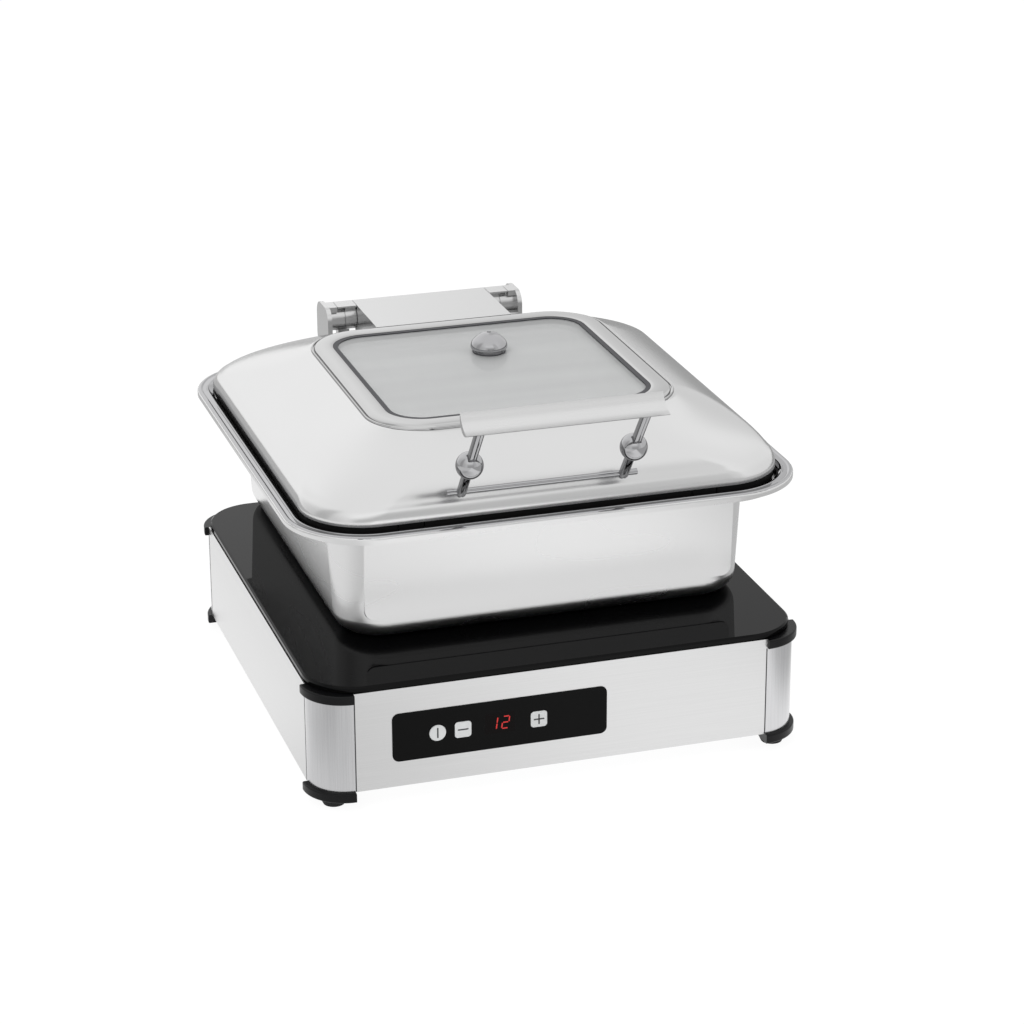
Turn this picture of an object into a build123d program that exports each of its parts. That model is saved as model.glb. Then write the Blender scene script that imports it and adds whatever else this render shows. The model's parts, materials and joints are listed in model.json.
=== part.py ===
"""Electric food warmer: an induction base with a glass top, and a hinged-lid chafing dish standing on it.

Millimetres, +Z up. The origin is on the floor, in the middle of the whole object's footprint; the front,
with the keys, faces -Y. The base is described from its own centre and the dish from its own.
"""
import os
from math import cos, radians, sin

from build123d import *

os.makedirs("parts", exist_ok=True)

# ---------------------------------------------------------------- driving sizes: base
base_w = 400.0            # over the side panels
base_d = 404.4            # over the front and rear panels
panel_h = 82.5            # height of the side panels
sheet = 1.2               # panel sheet
flange_depth = 14.0       # return flanges of the panels
flange_notch = 10.0       # how far the flanges stop short of the panel's ends
post_r = 31.0             # outer radius of the corner posts
post_wall = 2.5
post_tongue = 8.0         # tongue of a post behind each panel
cap_h = 7.5               # upper and lower corner caps
cap_proud = 3.6           # how far a cap stands out past the posts
foot_h = 7.5
foot_top_r = 12.0
foot_bottom_r = 8.5
boss_in = 13.0            # corner screw boss, measured outwards from the post's arc centre
boss_r = 4.5
m4_core_r = 1.7
m4_r = 2.0
m4_head_r = 3.6
m4_head_h = 2.2
hob_overlap_x = -0.6      # glass edge past the side panels
hob_overlap_y = 1.2       # glass edge past the front and rear panels
hob_r = 42.0              # corner radius of the glass
hob_t = 4.0
hob_seal_t = 1.7
hob_seal_w = 12.0
screw_end_gap = 9.0       # outermost panel screws from the ends of the flanges
side_screw_y = 75.0
cap_edge_r = 1.2

# ---------------------------------------------------------------- driving sizes: controls
film_w = 174.0
film_h = 40.4
film_r = 5.5
film_t = 0.5
film_in = 29.7            # film's left edge from the left end of the front panel
film_z = 41.2             # film centre above the panel's lower edge
key_z = 41.0              # key centres above the panel's lower edge
power_in = 36.2           # keys and display, from the film's left edge
minus_in = 56.6
plus_in = 118.1
display_in = 86.2
key_size = 13.2           # diameter of the round key, side of the square ones
key_corner_r = 2.6
key_proud = 0.2
key_gap = 0.3             # clearance round each key
key_lip = 1.4             # retaining lip behind the panel
key_lip_t = 0.9
key_travel = 0.8
stem_r = 2.0
display_z = 42.3
display_w = 24.0
display_h = 17.0
digit_w = 6.2
digit_h = 11.0
digit_pitch = 9.6
digit_stroke = 0.95
digit_t = 0.15
digit_slant = 8.0         # degrees
board_t = 1.6
board_gap = 8.6           # from the panel's back to the board
stud_r = 2.5
stud_in_x = 8.0           # studs from the film's edges
stud_in_z = 5.0
switch_size = 6.0

# ---------------------------------------------------------------- driving sizes: inside the base
coil_r = 90.0
coil_hole_r = 24.0
coil_t = 5.0
coil_turns = 11
carrier_r = 95.0
carrier_t = 3.0
carrier_leg_r = 5.0
carrier_leg_at = 84.0
coil_y = 30.0             # coil centre behind the base's centre
ferrite_l = 52.0
ferrite_w = 10.0
ferrite_t = 5.0
fan_size = 80.0
fan_t = 25.0
fan_bore_r = 37.5
fan_blade_r = 36.0
fan_hub_r = 17.0
fan_shaft_r = 1.5
fan_in = 83.0             # fan centre from the front and right panels' faces
running_fit = 0.05        # radial clearance of shafts and pins
power_board_w = 118.0
power_board_d = 84.0
power_board_in_x = 88.0   # board centre from the left panel's face
power_board_in_y = 82.0   # and from the front panel's face
standoff_h = 8.0

# ---------------------------------------------------------------- driving sizes: dish
dish_dx = 13.4            # dish centre from the base's centre
dish_dy = 52.0
rim_w = 420.0
rim_d = 438.0
rim_r = 66.0
rim_h = 104.5             # rim above the glass
rim_flat = 9.5
lip_h = 4.5
pan_wall = 0.9
rim_overhang = 42.0       # rim past the pan's foot
pan_foot_r = 37.0
pan_draft = 3.0           # degrees
pan_bottom_fillet = 16.0
gutter_depth = 8.0
emboss_end = 15.0         # ends of the raised wall panels, inside the pan's foot
emboss_under = 3.5        # their upper edge below the gutter
emboss_t = 0.8
emboss_r = 8.0
emboss_rise = 20.0        # their lower edge above the glass
food_flange_gap_x = 13.5  # food pan's flange to the gutter's wall
food_flange_gap_y = 15.5
food_gap = 7.5            # food pan's wall to the water pan's, at the flange
food_bottom_fillet = 12.0
rim_edge_r = 1.6
food_r = 38.0
food_flange_r = 58.0
food_depth = 65.0
food_wall = 0.8

# ---------------------------------------------------------------- driving sizes: lid
lid_gap = 4.7             # lid edge above the rim
lid_in_x = 13.0           # lid's edge inside the rim's edge
lid_in_y = 16.0
lid_r = 54.0
lid_wall = 1.0
lid_flange = 9.0
lid_rise = 50.0           # lid edge to the flat round the window
dome_run_x = 67.0         # lid's edge to the flat round the window
dome_run_y = 72.0
plateau_r = 48.0
plateau_shift = -14.4     # the window sits forward of the dish's centre
dome_power = 2.0          # the dome's profile: inset share = height share to this power
dome_steps = 6
hip_swell = 28.0          # extra corner radius half-way up the dome
seal_w = 6.0
seal_h = 9.0
frame_h = 3.6
frame_inset = 1.0
gasket_w = 6.5
gasket_lip = 1.0
frame_band_x = 16.7       # breadth of the window frame
frame_band_y = 17.0
frame_inner_r = 33.0
window_t = 4.0
window_bite = 4.0         # how far the gasket overlaps the glass
knob_r = 15.6
knob_h = 17.0
knob_x = 12.0             # steam knob from the dish's centre
knob_y = 24.0
knob_neck_r = 11.5
knob_neck_h = 3.2
steam_bore_r = 4.0

# ---------------------------------------------------------------- driving sizes: hinge
axis_in = 26.0            # hinge axis in front of the rim's rear edge
axis_drop = 10.9          # hinge axis below the flat round the window
barrel_r = 11.0
pin_r = 4.0
hinge_half = 89.0         # centre to the outer face of an end plate
end_plate_t = 4.0
end_plate_forward = 19.0  # end plates, from the hinge axis
end_plate_rearward = 21.0
end_plate_down = 29.5
end_plate_r = 12.0
cover_half = 60.5
cover_t = 2.0
cover_rise = 1.7          # tops of the cover and the tabs above the barrel
bracket_t = 10.0
hinge_side_gap = 0.4
tab_l = 17.0              # tabs over the knuckles, front to back
tab_t = 1.4
tab_reach = 17.0          # width of a bracket's tab
hinge_back = 6.0          # rear edge of the cover and the tabs, behind the axis

# ---------------------------------------------------------------- driving sizes: lid handle
handle_shift = -12.5      # the handle stands left of the lid's middle
rod_x = 66.1              # rods, from the handle's own middle
rod_size = 7.0
rod_root_at = (15.0, 6.6)     # rods' curve: back from the lid's front edge, and up from it
rod_middle_at = (-17.0, 46.6)
rod_end_at = (-47.0, 88.0)
rod_chamfer = 0.6
ball_r = 10.9
grip_half = 80.5
grip_low_at = (-58.6, 85.6)   # grip's lower and upper edges, from the lid's front edge
grip_top_at = (-41.6, 98.6)
grip_hollow = 3.0         # depth of the grip's hollow front
grip_t = 5.0
rail_half = 77.6
rail_r = 2.4
rail_mid_at = (7.0, 16.6)

# ---------------------------------------------------------------- worked-out places
panel_z = foot_h + cap_h
panel_top = panel_z + panel_h
hob_z = panel_top + hob_seal_t
hob_top = hob_z + hob_t
rim_z = hob_top + rim_h
gutter_z = rim_z - gutter_depth
lid_z = rim_z + lid_gap
plateau_z = lid_z + lid_rise
axis_z = plateau_z - axis_drop
half_w = base_w / 2
half_d = base_d / 2
lid_w = rim_w - 2 * lid_in_x
lid_d = rim_d - 2 * lid_in_y
plateau_w = lid_w - 2 * dome_run_x
plateau_d = lid_d - 2 * dome_run_y
frame_inner_w = plateau_w - 2 * frame_band_x
frame_inner_d = plateau_d - 2 * frame_band_y
axis_y = rim_d / 2 - axis_in


def from_lid_edge(back, up):
    """Place in the dish's upright plane, given from the lid's front edge."""
    return (back - lid_d / 2, lid_z + up)


rod_root = from_lid_edge(*rod_root_at)
rod_middle = from_lid_edge(*rod_middle_at)
rod_end = from_lid_edge(*rod_end_at)
grip_low = from_lid_edge(*grip_low_at)
grip_top = from_lid_edge(*grip_top_at)
rail_mid = from_lid_edge(*rail_mid_at)
base_x = -(dish_dx + rim_w / 2 - half_w - cap_proud) / 2
front_reach = max(half_d + cap_proud, -grip_low[0] - dish_dy)
base_y = (front_reach - dish_dy - rim_d / 2) / 2
dish_x = base_x + dish_dx
dish_y = base_y + dish_dy
corner_x = half_w - post_r
corner_y = half_d - post_r
film_left = film_in - corner_x
film_x = film_left + film_w / 2
power_x = film_left + power_in
minus_x = film_left + minus_in
plus_x = film_left + plus_in
display_x = film_left + display_in
fan_x = half_w - fan_in
fan_y = fan_in - half_d
power_board_x = power_board_in_x - half_w
power_board_y = power_board_in_y - half_d
pan_foot_w = rim_w - 2 * rim_overhang
pan_foot_d = rim_d - 2 * rim_overhang


def base_level(z):
    """Level plane at height z, centred on the base."""
    return Plane(origin=(base_x, base_y, z))


def dish_level(z, shift=0.0):
    """Level plane at height z, centred on the dish; shift moves it back."""
    return Plane(origin=(dish_x, dish_y + shift, z))


def base_front(y):
    """Upright plane facing the front, y behind the base's centre; local x is across and local y is height."""
    return Plane(origin=(base_x, base_y + y, 0), x_dir=(1, 0, 0), z_dir=(0, -1, 0))


def base_side(x):
    """Upright plane facing +X, x right of the base's centre; local x runs back and local y is height."""
    return Plane(origin=(base_x + x, base_y, 0), x_dir=(0, 1, 0), z_dir=(1, 0, 0))


def dish_side(x):
    """The same kind of upright plane, from the dish's centre."""
    return Plane(origin=(dish_x + x, dish_y, 0), x_dir=(0, 1, 0), z_dir=(1, 0, 0))


def slab(plane, width, depth, radius, height, mode=Mode.ADD, taper=0.0):
    """Add or cut a rounded rectangular slab in the piece being built."""
    with BuildSketch(plane) as outline:
        RectangleRounded(width, depth, radius)
    extrude(outline.sketch, amount=height, taper=taper, mode=mode)


def ring(plane, width, depth, radius, inset, height, mode=Mode.ADD):
    """Add or cut a rounded rectangular ring, inset wide."""
    with BuildSketch(plane) as outline:
        RectangleRounded(width, depth, radius)
        RectangleRounded(width - 2 * inset, depth - 2 * inset, radius - inset, mode=Mode.SUBTRACT)
    extrude(outline.sketch, amount=height, mode=mode)


def disc(plane, radius, height, at=((0, 0),), mode=Mode.ADD):
    """Add or cut round discs at the given places of the plane."""
    with BuildSketch(plane) as outline:
        with Locations(*at):
            Circle(radius)
    extrude(outline.sketch, amount=height, mode=mode)


def block(plane, width, depth, height, at=((0, 0),), mode=Mode.ADD):
    """Add or cut rectangular blocks at the given places of the plane."""
    with BuildSketch(plane) as outline:
        with Locations(*at):
            Rectangle(width, depth)
    extrude(outline.sketch, amount=height, mode=mode)


# ================================================================ base: panels
panel_mid_z = panel_z + panel_h / 2


def flanged_panel(plane, half_length):
    """Add an upright sheet and its top and bottom return flanges to the piece being built."""
    with BuildSketch(plane) as face:
        with Locations((0, panel_mid_z)):
            Rectangle(2 * half_length, panel_h)
    extrude(face.sketch, amount=-sheet)
    with BuildSketch(plane.offset(-sheet)) as flanges:
        with Locations((0, panel_z + sheet / 2), (0, panel_top - sheet / 2)):
            Rectangle(2 * (half_length - flange_notch), sheet)
    extrude(flanges.sketch, amount=sheet - flange_depth)


screw_reach = corner_x - flange_notch - screw_end_gap
screw_row = (-screw_reach, 0.0, screw_reach)
screw_in = flange_depth / 2
stud_places = [
    (film_x + side * (film_w / 2 - stud_in_x), panel_z + film_z + rise * (film_h / 2 - stud_in_z))
    for side in (-1, 1) for rise in (-1, 1)
]
key_places = {"power": power_x, "minus": minus_x, "plus": plus_x}
key_mid_z = panel_z + key_z
display_mid_z = panel_z + display_z

with BuildPart() as front_panel:
    flanged_panel(base_front(-half_d), corner_x)
    with BuildSketch(base_front(-half_d)):
        with Locations((power_x, key_mid_z)):
            Circle(key_size / 2 + key_gap)
        with Locations((minus_x, key_mid_z), (plus_x, key_mid_z)):
            RectangleRounded(key_size + 2 * key_gap, key_size + 2 * key_gap, key_corner_r + key_gap)
        with Locations((display_x, display_mid_z)):
            Rectangle(display_w, display_h)
    extrude(amount=-sheet, mode=Mode.SUBTRACT)
    disc(base_front(-half_d + sheet), stud_r, -board_gap, stud_places)
    disc(base_level(panel_z), m4_r, sheet, [(x, -half_d + screw_in) for x in screw_row], Mode.SUBTRACT)
front_panel.part.label = "front_panel"
export_step(front_panel.part, "parts/front_panel.step")

inlet_in = 82.0           # inlet's centre from the left panel's face
inlet_x = inlet_in - half_w
inlet_z = panel_z + 32.0
inlet_w = 28.0
inlet_h = 20.0
inlet_t = 20.0
inlet_r = 3.0
inlet_wall = 2.0
inlet_flange = 3.0        # how far the inlet's flange covers the panel round the cut-out
vent_l = 26.0
vent_w = 3.0
vent_pitch = 7.0
vent_rows = 6
vent_columns = 4
vent_bar = 8.0            # steel left between the ends of two slots
vent_x = 50.0             # centre of the slots

with BuildPart() as rear_panel:
    flanged_panel(Plane(origin=(base_x, base_y + half_d, 0), x_dir=(-1, 0, 0), z_dir=(0, 1, 0)), corner_x)
    with BuildSketch(base_front(half_d)):
        with Locations((inlet_x, inlet_z)):
            RectangleRounded(inlet_w, inlet_h, inlet_r)
        with Locations((vent_x, panel_mid_z)):
            with GridLocations(vent_l + vent_bar, vent_pitch, vent_columns, vent_rows):
                SlotOverall(vent_l, vent_w)
    extrude(amount=sheet, both=True, mode=Mode.SUBTRACT)
    disc(base_level(panel_z), m4_r, sheet, [(x, half_d - screw_in) for x in screw_row], Mode.SUBTRACT)
rear_panel.part.label = "rear_panel"
export_step(rear_panel.part, "parts/rear_panel.step")

for name, side in (("left_panel", -1), ("right_panel", 1)):
    with BuildPart() as side_panel:
        outward = Plane(origin=(base_x + side * half_w, base_y, 0), x_dir=(0, side, 0), z_dir=(side, 0, 0))
        flanged_panel(outward, corner_y)
        side_holes = [(side * (half_w - screw_in), y) for y in (-side_screw_y, side_screw_y)]
        disc(base_level(panel_z), m4_r, sheet, side_holes, Mode.SUBTRACT)
    side_panel.part.label = name
    export_step(side_panel.part, f"parts/{name}.step")

# ================================================================ base: corners
# Each corner is drawn in its own quarter: local x and y both run outwards from the post's arc centre.
corners = {
    "front_left": (-1, -1, (-1, 0, 0)),
    "front_right": (1, -1, (0, -1, 0)),
    "rear_left": (-1, 1, (0, 1, 0)),
    "rear_right": (1, 1, (1, 0, 0)),
}


def corner_level(corner, z):
    """Level plane of one corner, with its origin at the post's arc centre."""
    side_x, side_y, along = corners[corner]
    return Plane(origin=(base_x + side_x * corner_x, base_y + side_y * corner_y, z), x_dir=along)


for corner in corners:
    with BuildPart() as corner_post:
        with BuildSketch(corner_level(corner, panel_z)):
            Circle(post_r)
            Circle(post_r - post_wall, mode=Mode.SUBTRACT)
            Rectangle(post_r, post_r, align=(Align.MIN, Align.MIN), mode=Mode.INTERSECT)
            with Locations((-post_tongue, post_r - sheet - post_wall)):
                Rectangle(post_tongue + post_wall, post_wall, align=(Align.MIN, Align.MIN))
            with Locations((post_r - sheet - post_wall, -post_tongue)):
                Rectangle(post_wall, post_tongue + post_wall, align=(Align.MIN, Align.MIN))
            with Locations((boss_in, boss_in)):
                Circle(boss_r)
            with Locations(Location((boss_in, boss_in), 45)):
                web_l = post_r - post_wall / 2 - boss_in * 2**0.5
                Rectangle(web_l, post_wall, align=(Align.MIN, Align.CENTER))
            with Locations((boss_in, boss_in)):
                Circle(m4_core_r, mode=Mode.SUBTRACT)
        extrude(amount=panel_h - cap_h)
    corner_post.part.label = f"corner_post_{corner}"
    export_step(corner_post.part, f"parts/corner_post_{corner}.step")

    for name, cap_z in (("lower_cap", foot_h), ("upper_cap", panel_top - cap_h)):
        with BuildPart() as cap:
            with BuildSketch(corner_level(corner, cap_z)):
                cap_r = post_r + cap_proud
                Circle(cap_r)
                Rectangle(cap_r, cap_r, align=(Align.MIN, Align.MIN), mode=Mode.INTERSECT)
            extrude(amount=cap_h)
            outer_edges = cap.edges().filter_by(GeomType.CIRCLE).filter_by(lambda e: e.radius > post_r)
            fillet(outer_edges, cap_edge_r)
            disc(corner_level(corner, cap_z), m4_r, cap_h, [(boss_in, boss_in)], Mode.SUBTRACT)
            if name == "upper_cap":
                head_level = corner_level(corner, panel_top)
                disc(head_level, m4_head_r, -m4_head_h, [(boss_in, boss_in)], Mode.SUBTRACT)
        cap.part.label = f"{name}_{corner}"
        export_step(cap.part, f"parts/{name}_{corner}.step")

screw_head_cover = 1.0    # rubber below the head of a foot's screw
foot_recess = m4_head_h + screw_head_cover
with BuildPart() as rubber_feet:
    for corner in corners:
        foot_place = [(boss_in, boss_in)]
        with BuildSketch(corner_level(corner, 0)):
            with Locations(*foot_place):
                Circle(foot_bottom_r)
        with BuildSketch(corner_level(corner, foot_h)):
            with Locations(*foot_place):
                Circle(foot_top_r)
        loft()
        disc(corner_level(corner, 0), m4_head_r, foot_recess, foot_place, Mode.SUBTRACT)
        disc(corner_level(corner, 0), m4_r, foot_h, foot_place, Mode.SUBTRACT)
rubber_feet.part.label = "rubber_feet"
export_step(rubber_feet.part, "parts/rubber_feet.step")

thread_bite = 12.0        # how far a corner screw reaches into the post
with BuildPart() as corner_screws:
    for corner in corners:
        place = [(boss_in, boss_in)]
        disc(corner_level(corner, foot_recess), m4_head_r - running_fit, -m4_head_h, place)
        disc(corner_level(corner, foot_recess), m4_core_r, panel_z - foot_recess + thread_bite, place)
        disc(corner_level(corner, panel_top), m4_head_r - running_fit, -m4_head_h, place)
        disc(corner_level(corner, panel_top - m4_head_h), m4_core_r, m4_head_h - cap_h - thread_bite, place)
corner_screws.part.label = "corner_screws"
export_step(corner_screws.part, "parts/corner_screws.step")

# ================================================================ base: floor plate and glass
floor_z = panel_z + sheet
floor_t = 1.2
floor_gap = 0.4           # floor plate to the panels' faces
fan_vent_l = 60.0
fan_vent_w = 4.0
fan_vent_pitch = 9.0
fan_vent_rows = 7
corner_clear = 1.0        # floor plate to the posts
screw_spare = 4.0         # screws past the sheets they join
floor_holes = [(x, side * (half_d - screw_in)) for x in screw_row for side in (-1, 1)]
floor_holes += [
    (side * (half_w - screw_in), y) for side in (-1, 1) for y in (-side_screw_y, side_screw_y)
]

with BuildPart() as floor_plate:
    floor_less = 2 * (sheet + floor_gap)
    block(base_level(floor_z), base_w - floor_less, base_d - floor_less, floor_t)
    for side_x, side_y, _ in corners.values():
        cut = 2 * (post_r + post_tongue + corner_clear)
        block(base_level(floor_z), cut, cut, floor_t, [(side_x * half_w, side_y * half_d)], Mode.SUBTRACT)
    disc(base_level(floor_z), m4_core_r, floor_t, floor_holes, Mode.SUBTRACT)
    with BuildSketch(base_level(floor_z)):
        with Locations((fan_x, fan_y)):
            with GridLocations(1, fan_vent_pitch, 1, fan_vent_rows):
                SlotOverall(fan_vent_l, fan_vent_w)
    extrude(amount=floor_t, mode=Mode.SUBTRACT)
floor_plate.part.label = "floor_plate"
export_step(floor_plate.part, "parts/floor_plate.step")

with BuildPart() as floor_screws:
    disc(base_level(panel_z), m4_core_r, sheet + floor_t + screw_spare, floor_holes)
    disc(base_level(panel_z), m4_head_r, -m4_head_h / 2, floor_holes)
    with BuildSketch(base_level(panel_z - m4_head_h / 2)):
        with Locations(*floor_holes):
            Circle(m4_head_r)
    extrude(amount=-m4_head_h / 2, taper=30)
floor_screws.part.label = "floor_screws"
export_step(floor_screws.part, "parts/floor_screws.step")

hob_w = base_w + 2 * hob_overlap_x
hob_d = base_d + 2 * hob_overlap_y
hob_bevel = 1.4
with BuildPart() as glass_top:
    slab(base_level(hob_z), hob_w, hob_d, hob_r, hob_t)
    chamfer(glass_top.edges().group_by(Axis.Z)[-1], hob_bevel)
glass_top.part.label = "glass_top"
export_step(glass_top.part, "parts/glass_top.step")

seal_set_in = 2.2         # seal's edge inside the glass's edge
with BuildPart() as glass_seal:
    ring(
        base_level(panel_top), hob_w - 2 * seal_set_in, hob_d - 2 * seal_set_in, hob_r - seal_set_in,
        hob_seal_w, hob_seal_t,
    )
glass_seal.part.label = "glass_seal"
export_step(glass_seal.part, "parts/glass_seal.step")

# ================================================================ base: control panel
with BuildPart() as control_film:
    with BuildSketch(base_front(-half_d)):
        with Locations((film_x, panel_z + film_z)):
            RectangleRounded(film_w, film_h, film_r)
        with Locations((power_x, key_mid_z)):
            Circle(key_size / 2 + key_gap, mode=Mode.SUBTRACT)
        with Locations((minus_x, key_mid_z), (plus_x, key_mid_z)):
            RectangleRounded(
                key_size + 2 * key_gap, key_size + 2 * key_gap, key_corner_r + key_gap, mode=Mode.SUBTRACT
            )
        with Locations((display_x, display_mid_z)):
            Rectangle(display_w, display_h, mode=Mode.SUBTRACT)
    extrude(amount=film_t)
control_film.part.label = "control_film"
export_step(control_film.part, "parts/control_film.step")

key_front = -half_d - film_t - key_proud
key_back = -half_d + sheet + running_fit
switch_t = 3.5
plunger_r = 1.7
plunger_l = 1.0
plunger_gap = key_travel + 0.2
board_front = -half_d + sheet + board_gap
stem_end = board_front - switch_t - plunger_l - plunger_gap
for name, key_x in key_places.items():
    with BuildPart() as key:
        with BuildSketch(base_front(key_front)):
            with Locations((key_x, key_mid_z)):
                if name == "power":
                    Circle(key_size / 2)
                else:
                    RectangleRounded(key_size, key_size, key_corner_r)
        extrude(amount=key_front - key_back)
        lip_size = key_size + 2 * key_lip
        block(base_front(key_back), lip_size, lip_size, -key_lip_t, [(key_x, key_mid_z)])
        disc(base_front(key_back), stem_r, key_back - stem_end, [(key_x, key_mid_z)])
    key.part.label = f"{name}_key"
    export_step(key.part, f"parts/{name}_key.step")

with BuildPart() as display_window:
    block(base_front(-half_d - film_t), display_w, display_h, -film_t - sheet, [(display_x, display_mid_z)])
display_window.part.label = "display_window"
export_step(display_window.part, "parts/display_window.step")


def digit_bars(centre_x, lit):
    """Add the lit bars of one seven-segment digit to the sketch being built, leaning to the right."""
    half = digit_h / 2 - digit_stroke / 2
    side = digit_w / 2 - digit_stroke / 2
    bars = {
        "a": (0, half, True), "g": (0, 0, True), "d": (0, -half, True),
        "f": (-side, half / 2, False), "b": (side, half / 2, False),
        "e": (-side, -half / 2, False), "c": (side, -half / 2, False),
    }
    lean = sin(radians(digit_slant))
    for bar in lit:
        x, z, level = bars[bar]
        turn = 0 if level else -digit_slant
        with Locations(Location((centre_x + x + z * lean, display_mid_z + z), turn)):
            if level:
                Rectangle(digit_w - 2.2 * digit_stroke, digit_stroke)
            else:
                Rectangle(digit_stroke, digit_h / 2 - 1.4 * digit_stroke)


with BuildPart() as display_digits:
    with BuildSketch(base_front(-half_d - film_t)):
        digit_bars(display_x - digit_pitch / 2, "bc")
        digit_bars(display_x + digit_pitch / 2, "abged")
    extrude(amount=digit_t)
display_digits.part.label = "display_digits"
export_step(display_digits.part, "parts/display_digits.step")

board_margin = 3.0
module_gap = 0.4          # display module to the panel's back
module_t = board_gap - module_gap
plug_w = 22.0
plug_h = 8.0
plug_t = 6.0
plug_x = 50.0             # board's plug from the film's centre
film_place = (film_x, panel_z + film_z)
with BuildPart() as control_board:
    block(base_front(board_front), film_w - board_margin, film_h - board_margin, -board_t, [film_place])
    block(base_front(board_front), display_w - 1, display_h - 1, module_t, [(display_x, display_mid_z)])
    plug_place = (film_place[0] + plug_x, film_place[1])
    block(base_front(board_front + board_t), plug_w, plug_h, -plug_t, [plug_place])
control_board.part.label = "control_board"
export_step(control_board.part, "parts/control_board.step")

with BuildPart() as tact_switches:
    for name, key_x in key_places.items():
        block(base_front(board_front), switch_size, switch_size, switch_t, [(key_x, key_mid_z)])
        disc(base_front(board_front), plunger_r, switch_t + plunger_l, [(key_x, key_mid_z)])
tact_switches.part.label = "tact_switches"
export_step(tact_switches.part, "parts/tact_switches.step")

# ================================================================ base: induction heater
coil_top = hob_z - hob_seal_t
carrier_z = coil_top - coil_t - carrier_t
leg_places = [
    (carrier_leg_at * cos(radians(turn)), coil_y + carrier_leg_at * sin(radians(turn)))
    for turn in range(45, 360, 90)
]

sensor_r = 6.0
sensor_gap = 2.0          # sensor to the hole's edge in the insulation
with BuildPart() as insulation_disc:
    disc(base_level(coil_top), carrier_r, hob_seal_t, [(0, coil_y)])
    disc(base_level(coil_top), sensor_r + sensor_gap, hob_seal_t, [(0, coil_y)], Mode.SUBTRACT)
insulation_disc.part.label = "insulation_disc"
export_step(insulation_disc.part, "parts/insulation_disc.step")

turn_pitch = (coil_r - coil_hole_r) / coil_turns
groove_half = 0.5
coil_backing = 1.5        # left under the grooves between the turns
with BuildPart() as induction_coil:
    disc(base_level(coil_top - coil_t), coil_r, coil_t, [(0, coil_y)])
    disc(base_level(coil_top - coil_t), coil_hole_r, coil_t, [(0, coil_y)], Mode.SUBTRACT)
    for turn in range(1, coil_turns):
        groove_r = coil_hole_r + turn * turn_pitch
        with BuildSketch(base_level(coil_top)):
            with Locations((0, coil_y)):
                Circle(groove_r + groove_half)
                Circle(groove_r - groove_half, mode=Mode.SUBTRACT)
        extrude(amount=coil_backing - coil_t, mode=Mode.SUBTRACT)
induction_coil.part.label = "induction_coil"
export_step(induction_coil.part, "parts/induction_coil.step")

carrier_window_r = 13.0
carrier_window_at = 57.0
with BuildPart() as coil_carrier:
    disc(base_level(carrier_z), carrier_r, carrier_t, [(0, coil_y)])
    for reach_x, reach_y in ((1, 0), (0, 1), (-1, 0), (0, -1)):
        window_at = (carrier_window_at * reach_x, coil_y + carrier_window_at * reach_y)
        disc(base_level(carrier_z), carrier_window_r, carrier_t, [window_at], Mode.SUBTRACT)
    disc(base_level(floor_z + floor_t), carrier_leg_r, carrier_z - floor_z - floor_t, leg_places)
coil_carrier.part.label = "coil_carrier"
export_step(coil_carrier.part, "parts/coil_carrier.step")

ferrite_at = 52.0
with BuildPart() as ferrite_bars:
    with BuildSketch(base_level(carrier_z)):
        with Locations((0, coil_y)):
            with PolarLocations(ferrite_at, 8, 22.5):
                Rectangle(ferrite_l, ferrite_w)
    extrude(amount=-ferrite_t)
ferrite_bars.part.label = "ferrite_bars"
export_step(ferrite_bars.part, "parts/ferrite_bars.step")

with BuildPart() as temperature_sensor:
    disc(base_level(carrier_z + carrier_t), sensor_r, coil_t + hob_seal_t, [(0, coil_y)])
temperature_sensor.part.label = "temperature_sensor"
export_step(temperature_sensor.part, "parts/temperature_sensor.step")

# ================================================================ base: power board, fan and inlet
board_z = floor_z + floor_t + standoff_h
standoff_r = 3.0
standoff_in = 6.0         # standoffs from the board's edges
standoff_x = power_board_w / 2 - standoff_in
standoff_y = power_board_d / 2 - standoff_in
board_corners = [
    (power_board_x + side_x * standoff_x, power_board_y + side_y * standoff_y)
    for side_x in (-1, 1) for side_y in (-1, 1)
]
with BuildPart() as power_board:
    block(base_level(board_z), power_board_w, power_board_d, board_t, [(power_board_x, power_board_y)])
    disc(base_level(floor_z + floor_t), standoff_r, standoff_h, board_corners)
power_board.part.label = "power_board"
export_step(power_board.part, "parts/power_board.step")

sink_w = 64.0
sink_d = 40.0
sink_h = 26.0
sink_base_t = 4.0
fin_count = 8
fin_t = 2.0
sink_place = (power_board_x + 18, power_board_y - 14)
with BuildPart() as heat_sink:
    block(base_level(board_z + board_t), sink_w, sink_d, sink_base_t, [sink_place])
    with BuildSketch(base_level(board_z + board_t + sink_base_t)):
        with Locations(sink_place):
            with GridLocations(sink_w / fin_count, 1, fin_count, 1):
                Rectangle(fin_t, sink_d)
    extrude(amount=sink_h - sink_base_t)
heat_sink.part.label = "heat_sink"
export_step(heat_sink.part, "parts/heat_sink.step")

board_face = base_level(board_z + board_t)
capacitor_r = 9.0
capacitor_h = 30.0
capacitor_places = [(power_board_x - 40, power_board_y + y) for y in (-22, 0)]
film_capacitor_place = [(power_board_x - 8, power_board_y + 24)]
film_capacitor_w = 26.0
film_capacitor_d = 12.0
film_capacitor_h = 20.0
choke_r = 12.0
choke_hole_r = 5.0
choke_h = 14.0
choke_place = [(power_board_x + 28, power_board_y + 24)]
with BuildPart() as board_components:
    disc(board_face, capacitor_r, capacitor_h, capacitor_places)
    block(board_face, film_capacitor_w, film_capacitor_d, film_capacitor_h, film_capacitor_place)
    disc(board_face, choke_r, choke_h, choke_place)
    disc(board_face, choke_hole_r, choke_h, choke_place, Mode.SUBTRACT)
board_components.part.label = "board_components"
export_step(board_components.part, "parts/board_components.step")

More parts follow.
